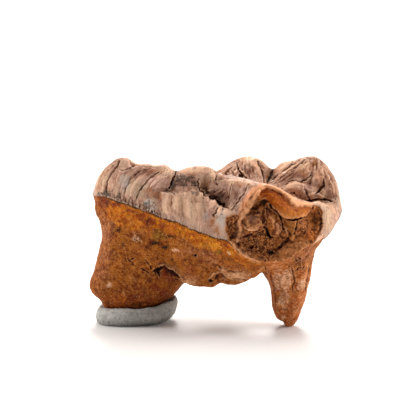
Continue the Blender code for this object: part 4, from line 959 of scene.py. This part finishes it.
class ToothShader(Shader):
    """The tooth's nodes, with the noises that its enamel, roots and broken face share."""

    def __init__(self):
        super().__init__("fossil tooth")
        self.fine, self.small = self.cloud(0.4), self.cloud(0.9)
        self.middle, self.broad = self.cloud(1.8), self.cloud(4.0)
        self.speck = self.cloud(0.25, detail=2.0, rough=0.5)
        self.pores = self.cells(0.75)
        self.veins = abs(self.cloud(1.3) - 0.5)
        lane = self.mark("lane") + (self.cloud(2.4) - 0.5) * 2.0
        beside, up = self.mark("side_lane"), self.mark("rise") * 0.12
        self.streaks = self.drawn_out(lane, beside, up, size=0.3)
        self.long_streaks = self.drawn_out(lane, beside, up + 9.0, size=1.1)


def enamel_paint(skin):
    """Mauve and beige in upright streaks, with brown and painted shade in its folds and cream and
    painted highlights on its crests. It comes with the share of grime, which takes the enamel's gloss."""
    mark, mix, tint, stain = skin.mark, skin.mix, skin.tint, skin.stain
    fine, small, middle, broad = skin.fine, skin.small, skin.middle, skin.broad
    streaks, long_streaks = skin.streaks, skin.long_streaks
    hollow, dip, basin, dark = mark("hollow"), mark("dip"), mark("basin"), mark("dark")
    rise, near, side, unseen = mark("rise"), mark("near"), mark("crown_side"), 1 - mark("facing")

    # the skin's own clouds and stains; peach and cream are partly painted highlights, shade is painted shade
    shell = mix(broad.eased(0.35, 0.65), paint(190, 144, 118), paint(166, 124, 104))
    shell = mix(middle.eased(0.42, 0.62) * 0.4, shell, paint(196, 156, 130))
    shell = mix(mark("mauve_skin") * 0.7, shell, paint(200, 158, 150))
    shell = mix(stain("beige", long_streaks, 1.4) * 0.6, shell, paint(184, 160, 132))
    # peach on the crests and rims: partly the enamel's own tone, partly painted highlight
    shell = mix((mark("peach") + (small - 0.5)).eased(0.1, 0.8) * 0.7, shell, paint(230, 168, 130))
    # cream: partly pale enamel, partly painted highlight on crests and edges
    shell = mix(mark("cream") * 0.75, shell, paint(216, 182, 146))
    # painted shade on the marked places
    shell = tint((mark("shade") + (small - 0.5) * 0.8).eased(0.1, 0.9) * 0.9, shell, paint(182, 144, 120))
    shell = mix(small.eased(0.46, 0.62) * 0.4, shell, paint(206, 168, 146))
    shell = tint(small.eased(0.47, 0.36) * 0.55, shell, paint(192, 168, 154))

    # growth lines, pale and dark, and hair cracks
    shell = mix(long_streaks.eased(0.5, 0.64) * side * 0.35, shell, paint(212, 178, 150))
    shell = tint(long_streaks.eased(0.48, 0.36) * side * 0.45, shell, paint(186, 162, 146))
    shell = mix(streaks.eased(0.52, 0.68) * side * 0.15, shell, paint(216, 184, 162))
    shell = tint(streaks.eased(0.48, 0.34) * side * 0.3, shell, paint(176, 150, 130))
    shell = tint(abs(long_streaks - 0.5).eased(0.02, 0.0) * side * 0.4, shell, paint(140, 114, 98))
    shell = tint(skin.veins.eased(0.018, 0.0) * fine.eased(0.4, 0.55) * 0.35, shell, paint(140, 112, 92))
    edge_zone = (rise + (long_streaks - 0.5) * 2.0).eased(1.4, 0.4) * near
    shell = mix(edge_zone * side * 0.2, shell, paint(204, 186, 172))

    # the walls turned from the viewer, painted a little browner and darker as painted shade, with the
    # same growth lines
    far_tone = skin.mottle(broad.eased(0.4, 0.6), (222, 210, 194), (198, 182, 166))
    shell = tint(unseen * 0.75, shell, far_tone)
    shell = tint(unseen * side * long_streaks.eased(0.5, 0.38) * 0.3, shell, paint(184, 160, 138))
    shell = tint(unseen * side * middle.eased(0.5, 0.38) * 0.5, shell, paint(196, 168, 140))
    shell = tint(unseen * rise.eased(2.2, 0.0) * small.eased(0.4, 0.6) * 0.6, shell, paint(196, 170, 136))

    # dark marks above the lower edge, then grey and ochre stains, and brown that is partly painted shade
    # in the hollows
    marks_zone = (rise + (streaks - 0.5) * 3.0).eased(1.5, 0.2) * (mark("ticked") * near + unseen * 0.7)
    shell = tint(marks_zone * fine.eased(0.36, 0.6) * 0.8, shell, paint(140, 138, 126))
    shell = mix(stain("grey", streaks) * 0.6, shell, paint(176, 171, 163))
    ochre = (mark("ochre") + (streaks - 0.5) * 3.0 + (fine - 0.5) * 1.6).eased(0.3, 1.2)
    shell = mix(ochre * 0.85, shell, paint(148, 88, 40))
    # brown, partly the folds' own colour, partly painted shade in hollows, folds and pits
    brown = skin.mottle(streaks.eased(0.4, 0.6), (96, 64, 34), (130, 96, 58))
    shell = mix(mark("brown") * 0.85, shell, brown)

    # painted highlights on crests and rims, painted shade in hollows, dips and folds, and the tones of
    # the strokes, which paint dark lines and shade, and pale lines and highlights
    shell = mix(hollow.eased(-0.006, -0.04) * 0.6, shell, paint(232, 190, 160))
    shell = mix(basin.eased(-0.1, -0.7) * 0.4, shell, paint(226, 182, 154))
    shell = mix(mark("light") * 0.85, shell, paint(240, 186, 152))
    shell = tint(basin.eased(0.2, 1.0) * 0.6, shell, paint(160, 128, 110))
    shell = tint(dip.eased(0.04, 0.3) * 0.8, shell, paint(150, 112, 88))
    shell = tint(hollow.eased(0.004, 0.045) * 0.9, shell, paint(120, 88, 66))
    shell = tint(dark.eased(0.0, 0.7), shell, paint(150, 114, 88))
    shell = tint(dark.eased(0.5, 1.0), shell, paint(108, 78, 54))

    # grime, and the torn rim over the break, partly its own orange and partly a painted highlight
    grime = (mark("grime") + (fine - 0.5) * 2.0 + (small - 0.5) * 0.8).eased(0.35, 0.85)
    shell = tint(grime * 0.85, shell, paint(112, 122, 130))
    shell = mix((mark("rim") + (fine - 0.5)).eased(0.2, 0.9) * 0.75, shell, paint(244, 166, 118))
    return shell, grime


def root_paint(skin):
    """Rust brown and finely porous, golden next to the enamel, with pale crusts. It comes with the
    share of the golden band, which is smoother."""
    mark, mix, tint, stain = skin.mark, skin.mix, skin.tint, skin.stain
    fine, small, middle, speck, pores = skin.fine, skin.small, skin.middle, skin.speck, skin.pores
    hollow, dip, dark, front_root = mark("hollow"), mark("dip"), mark("dark"), mark("front_root")

    # the ground colour, the golden band and the large stains, with painted light on the gold stain and
    # the front root, and painted shade towards the roots' lower end
    below = 0 - mark("rise")
    bone = mix(small.eased(0.38, 0.62), paint(148, 78, 14), paint(172, 100, 32))
    bone = mix(middle.eased(0.42, 0.6) * 0.4, bone, paint(134, 66, 16))
    golden = (below + (middle - 0.5) * 2.2 + (small - 0.5)).eased(2.9, 1.7) * mark("band")
    pink = skin.mottle(small.eased(0.4, 0.6), (166, 102, 66), (192, 130, 96))
    bone = mix(mark("pink") * 0.8, bone, pink)
    bone = mix(golden * 0.95, bone, skin.mottle(small.eased(0.36, 0.64), (188, 92, 0), (216, 132, 16)))
    amber = skin.mottle(small.eased(0.38, 0.6), (168, 80, 6), (198, 112, 20))
    bone = mix(stain("amber", small) * 0.9, bone, amber)
    # gold: partly the band's own colour, partly painted light where the band lies in shade
    bone = mix(stain("gold", small) * 0.7, bone, paint(226, 146, 44))
    bone = mix(stain("rust", fine, 1.2) * 0.85, bone, paint(122, 42, 0))
    bone = mix(stain("olive", small) * 0.7, bone, paint(138, 98, 26))
    # the front root painted a lighter tan: partly its paler colour, partly painted light against the shade
    # that falls on it under the crown
    tan = skin.mottle(small.eased(0.42, 0.6), (196, 110, 48), (214, 146, 98))
    bone = mix(front_root * 0.7, bone, tan)
    pale = stain("pale", small + (fine - 0.5) * 0.6)
    bone = mix(pale * 0.85, bone, skin.mottle(small.eased(0.4, 0.6), (204, 144, 100), (234, 184, 148)))
    # painted shade: the roots grow darker towards their lower end
    low = mark("seen_height").eased(8.5, 3.6)
    bone = tint(low * (1 - pale) * (1 - front_root * 0.5) * 0.7, bone, paint(216, 168, 124))

    # pores, specks and hair cracks
    bone = mix(pores.eased(0.3, 0.12) * small.eased(0.44, 0.56) * 0.4, bone, paint(196, 132, 84))
    bone = tint(pores.eased(0.42, 0.62) * middle.eased(0.42, 0.56) * 0.6, bone, paint(168, 132, 100))
    bone = mix(fine.eased(0.54, 0.66) * (1 - golden * 0.5) * 0.4, bone, paint(206, 142, 84))
    bone = tint(fine.eased(0.46, 0.34) * 0.75, bone, paint(144, 102, 68))
    bone = tint(small.eased(0.44, 0.34) * (1 - golden * 0.6) * 0.6, bone, paint(164, 120, 86))
    cracks = skin.veins.eased(0.02, 0.0) * skin.broad.eased(0.44, 0.54)
    bone = tint(cracks * 0.6, bone, paint(128, 88, 62))
    bone = mix(speck.eased(0.56, 0.68) * (1 - golden * 0.7) * 0.35, bone, paint(214, 156, 104))
    bone = tint(speck.eased(0.42, 0.3) * 0.5, bone, paint(128, 88, 62))

    # painted highlights on crests, painted shade in dips and hollows, soot, and the tones of the strokes,
    # which paint dark cracks and shade, and pale edges and highlights
    bone = mix(hollow.eased(-0.006, -0.04) * 0.5, bone, paint(214, 150, 96))
    bone = tint(dip.eased(0.04, 0.35) * 0.85, bone, paint(140, 92, 62))
    bone = tint(hollow.eased(0.006, 0.06) * 0.8, bone, paint(136, 98, 72))
    bone = mix(mark("light") * 0.85, bone, paint(218, 158, 112))
    soot = (mark("soot") + (speck - 0.5) * 3.4 + (fine - 0.5) * 1.8).eased(0.6, 0.85)
    bone = mix(soot * 0.95, bone, paint(34, 28, 18))
    bone = tint(dark.eased(0.02, 0.55), bone, paint(120, 78, 52))
    bone = tint(dark.eased(0.35, 0.95), bone, paint(84, 58, 44))
    return bone, golden


def break_paint(skin):
    """Spongy brown dentine with tan slabs and a smooth orange lip."""
    mark, mix, tint, stain = skin.mark, skin.mix, skin.tint, skin.stain
    fine, small, hollow, dark = skin.fine, skin.small, mark("hollow"), mark("dark")

    # the dentine and what stands in it
    heart = mix(small.eased(0.4, 0.58), paint(112, 60, 24), paint(158, 92, 46))
    heart = mix(stain("heart_tan", fine) * 0.8, heart, paint(166, 106, 64))
    heart = mix(stain("heart_amber", fine) * 0.8, heart, paint(152, 76, 14))
    heart = mix(stain("heart_rust", fine) * 0.85, heart, paint(92, 36, 14))
    for name, share, spots, one, other in (
            ("mauve", 0.85, small.eased(0.4, 0.6), (110, 80, 66), (138, 104, 88)),
            ("slab", 0.7, small.eased(0.4, 0.6), (140, 84, 44), (164, 106, 64)),
            ("trapezoid", 0.8, small.eased(0.4, 0.6), (142, 82, 30), (176, 112, 54)),
            ("island", 0.8, fine.eased(0.42, 0.58), (84, 36, 14), (128, 72, 34))):
        heart = mix(mark(name) * share, heart, skin.mottle(spots, one, other))

    # its sponge and pits, with painted shade in the pores, dips and hollows and painted highlights on
    # the crests
    rough_parts = 1 - mark("slab") * 0.6 - mark("trapezoid") * 0.6 - mark("mauve") * 0.8
    heart = mix(small.eased(0.54, 0.64) * rough_parts * 0.5, heart, paint(180, 112, 60))
    heart = tint(small.eased(0.46, 0.36) * rough_parts * 0.8, heart, paint(124, 82, 54))
    heart = mix(fine.eased(0.55, 0.66) * rough_parts * 0.55, heart, paint(188, 122, 74))
    heart = tint(fine.eased(0.46, 0.36) * rough_parts * 0.9, heart, paint(96, 64, 46))
    heart = tint(skin.pores.eased(0.24, 0.1) * mark("sponge") * 0.95, heart, paint(84, 62, 50))
    heart = tint(mark("dip").eased(0.05, 0.4) * 0.7, heart, paint(140, 94, 62))
    heart = tint(hollow.eased(0.008, 0.07) * 0.8, heart, paint(124, 84, 60))
    heart = mix(hollow.eased(-0.008, -0.05) * 0.6, heart, paint(204, 142, 92))

    # the orange lip
    orange = mix(small.eased(0.35, 0.65), paint(168, 84, 12), paint(144, 64, 6))
    orange = mix(mark("seen_height").eased(22.8, 20.3) * 0.6, orange, paint(198, 122, 50))
    orange = mix(stain("lip_dark", small), orange, paint(124, 50, 8))
    orange = tint(fine.eased(0.47, 0.35) * 0.5, orange, paint(150, 110, 84))
    orange = mix(fine.eased(0.56, 0.68) * 0.4, orange, paint(206, 134, 66))
    heart = mix(mark("lip"), heart, orange)

    # its rim, partly its own orange and partly a painted highlight, soot, and the tones of the strokes,
    # which paint dark cracks and shade, and pale rims and highlights
    heart = mix(mark("light") * 0.9, heart, paint(250, 180, 132))
    rim = (mark("rim") + (small - 0.5)).eased(0.35, 0.95) * (1 - mark("sponge"))
    heart = mix(rim * 0.6, heart, paint(236, 158, 110))
    soot = (mark("heart_soot") + (fine - 0.5) * 3.0).eased(0.5, 1.0)
    heart = mix(soot * 0.85, heart, paint(44, 38, 28))
    heart = tint(dark.eased(0.02, 0.6), heart, paint(124, 80, 54))
    return tint(dark.eased(0.45, 0.95), heart, paint(84, 60, 44))


def tooth_material():
    """Enamel, roots and broken face in one skin, with a dark seam along the enamel's lower edge."""
    skin = ToothShader()
    mark, mix, fine = skin.mark, skin.mix, skin.fine
    rise, enamel_share, broken_share = mark("rise"), mark("enamel"), mark("broken")
    shell, grime = enamel_paint(skin)
    bone, golden = root_paint(skin)
    colour = mix(enamel_share, bone, shell)
    colour = mix(broken_share, colour, break_paint(skin))
    seam = (rise + (fine - 0.5) * 0.8).eased(-0.5, -0.2) * rise.eased(0.24, 0.08)
    seam = seam * (1 - broken_share) * mark("near") * fine.eased(0.36, 0.46) * mark("band")
    colour = mix(seam * 0.95, colour, paint(48, 34, 14))

    glaze = enamel_share * (1 - grime) * (1 - mark("dark"))
    rough = 0.74 - glaze * 0.34 - mark("lip") * 0.2 - golden * (1 - enamel_share) * 0.2
    lines = skin.streaks * mark("crown_side")
    relief = fine * 0.6 + skin.speck * 0.5 - lines * 0.4 - skin.pores * (1 - enamel_share) * 0.4
    bump = skin.node("Bump", sockets={"Strength": 0.9, "Distance": 0.2 * MM, "Height": relief})
    return skin.surface(base_color=colour, roughness=rough + (fine - 0.5) * 0.2, normal=bump,
                        specular_ior_level=0.12, coat_weight=glaze * 0.15, coat_roughness=0.25)


tooth.dress(tooth_material())
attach(tooth.item, "root")
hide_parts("tooth")


# The putty is a lump of grey modelling putty, rolled into a pebble and pressed flat under the back
# root, which has sunk a little into it. Its skin keeps fine wrinkles and finger dents.
# Dents and creases in the putty; the creases' tones paint shade in them.
PUTTY_STROKES = (
    (((-20.4, 1.6),), 0.9, 0.18, 0.0),
    (((-17.6, 2.2), (-16.8, 2.0)), 0.5, 0.14, 0.0),
    (((-15.2, 1.4),), 1.0, 0.15, 0.0),
    (((-12.4, 2.4), (-11.6, 2.8)), 0.5, 0.16, 0.0),
    (((-9.6, 3.0),), 1.0, 0.2, 0.0),
    (((-18.8, 2.6), (-18.2, 2.8)), 0.25, 0.12, 0.3),
    (((-10.4, 1.0), (-9.0, 1.5)), 0.3, 0.12, 0.2),
    (((-13.8, 2.9), (-12.6, 3.1)), 0.2, 0.1, 0.3),
)

putty = Clay("putty", "putty_lump", voxel=0.25, smoothing=5)
putty.refine(least=0.5)
clear_of_table = eased(putty.points[:, 2], 0.1, 0.8)
dented = 0.1 * grain(putty.points, size=1.8) + 0.05 * grain(putty.points, size=0.7)
putty.push(dented * clear_of_table)
putty.write()
putty.draw(PUTTY_STROKES, eased(putty.toward(), 0, 0.4) * clear_of_table)
wrinkles = grain(putty.points * (0.5, 1.0, 1.6), size=0.6) + 0.6 * grain(putty.points, size=0.3)
putty.push(0.09 * wrinkles * clear_of_table)
putty.write()
putty.mark("hollow", putty.hollow(rounds=4))
putty.mark("height", putty.points[:, 2])
putty.mark("along", putty.points[:, 0])
putty.mark("dark", putty.dark_and_shade)


def putty_material():
    """Matt grey, with painted light towards its left end and painted shade near the table, in its
    wrinkles and in its creases.
    """
    made = Shader("grey putty")
    mark, mix = made.mark, made.mix
    fine, small = made.cloud(0.35), made.cloud(1.5)
    colour = mix(small.eased(0.35, 0.65), paint(160, 158, 152), paint(176, 174, 168))
    # painted light on the left end
    colour = mix(mark("along").eased(-14.0, -20.0) * 0.7, colour, paint(198, 195, 190))
    # painted shade near the table
    colour = mix(mark("height").eased(1.9, 0.2) * 0.6, colour, paint(112, 112, 106))
    colour = mix(fine.eased(0.53, 0.66) * 0.55, colour, paint(190, 188, 180))
    colour = mix(fine.eased(0.47, 0.36) * 0.55, colour, paint(112, 111, 104))
    # painted shade in the wrinkles
    colour = mix(mark("hollow").eased(0.0, 0.05) * 0.6, colour, paint(84, 84, 78))
    # painted shade in the pressed creases
    colour = mix(mark("dark") * 0.6, colour, paint(100, 100, 94))
    relief = fine * 0.5 + made.cloud(0.15) * 0.5 + made.cloud(0.9)
    bump = made.node("Bump", sockets={"Strength": 0.8, "Distance": 0.25 * MM, "Height": relief})
    return made.surface(base_color=colour, roughness=0.62 + fine * 0.15, normal=bump, specular_ior_level=0.3)


putty.dress(putty_material())
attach(putty.item, "root")
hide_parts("putty")


# The table is a plain white sheet under soft light: a broad lamp above and a small one behind,
# which draw a soft shadow towards the viewer, and a lamp on each side for the edges.
SHEET_HALF = 3.0
SHEET_WHITE = (0.84, 0.82, 0.81, 1.0)
ROOM_LIGHT = 0.24

# Each lamp's place, the place that it points at, its width, its power and its colour.
LAMPS = {
    "top lamp": ((0.0, 0.3, 1.1), (0, 0.1, 0), 1.3, 12.0, (1.0, 0.985, 0.96)),
    "back lamp": ((0.0, 0.9, 0.75), (0, 0, 0.01), 0.4, 8.0, (1.0, 0.985, 0.96)),
    "left lamp": ((-0.8, 0.05, 0.4), (0, 0, 0.015), 0.6, 6.0, (1.0, 0.97, 0.95)),
    "right lamp": ((0.8, 0.05, 0.4), (0, 0, 0.015), 0.6, 7.0, (1.0, 0.98, 0.96)),
}


def white_sheet():
    mesh = bpy.data.meshes.new("white_sheet")
    corners = [(x * SHEET_HALF, y * SHEET_HALF, 0) for x, y in ((-1, -1), (1, -1), (1, 1), (-1, 1))]
    mesh.from_pydata(corners, [], [(0, 1, 2, 3)])
    sheet = bpy.data.objects.new("white_sheet", mesh)
    bpy.context.scene.collection.objects.link(sheet)
    made = Shader("white sheet")
    mesh.materials.append(made.surface(base_color=SHEET_WHITE, roughness=0.4))


def lamp(name, place, aim, size, power, colour):
    light = bpy.data.lights.new(name, "AREA")
    light.shape = "DISK"
    light.size = size
    light.energy = power
    light.color = colour
    item = bpy.data.objects.new(name, light)
    item.location = place
    item.rotation_mode = "QUATERNION"
    item.rotation_quaternion = (Vector(aim) - Vector(place)).to_track_quat("-Z", "Y")
    bpy.context.scene.collection.objects.link(item)


white_sheet()
for name, settings in LAMPS.items():
    lamp(name, *settings)

world = bpy.data.worlds.new("dim room")
world.use_nodes = True
world.node_tree.nodes["Background"].inputs["Color"].default_value = (1.0, 1.0, 1.0, 1.0)
world.node_tree.nodes["Background"].inputs["Strength"].default_value = ROOM_LIGHT
bpy.context.scene.world = world

# The camera stands well back, as a long lens does, and looks at VIEW_CENTRE, given as (along, seen
# height) on the tooth.
CAMERA_DISTANCE = 1.2
VIEW_WIDTH = 0.0770
VIEW_CENTRE = (-1.39 * MM, 21.94 * MM)
SENSOR = 36.0

back = Vector(TO_VIEWER)
centre = Vector(SEEN_UP) * VIEW_CENTRE[1] + Vector((VIEW_CENTRE[0], 0, 0)) - Vector(PROFILE_ORIGIN) * MM
camera = bpy.data.objects.new("camera", bpy.data.cameras.new("camera"))
camera.data.sensor_width = SENSOR
camera.data.lens = SENSOR * CAMERA_DISTANCE / VIEW_WIDTH
camera.data.clip_start = 0.05
camera.location = centre + back * CAMERA_DISTANCE
camera.rotation_mode = "QUATERNION"
camera.rotation_quaternion = (-back).to_track_quat("-Z", "Y")
bpy.context.scene.collection.objects.link(camera)
bpy.context.scene.camera = camera
bpy.context.scene.view_settings.view_transform = "Standard"
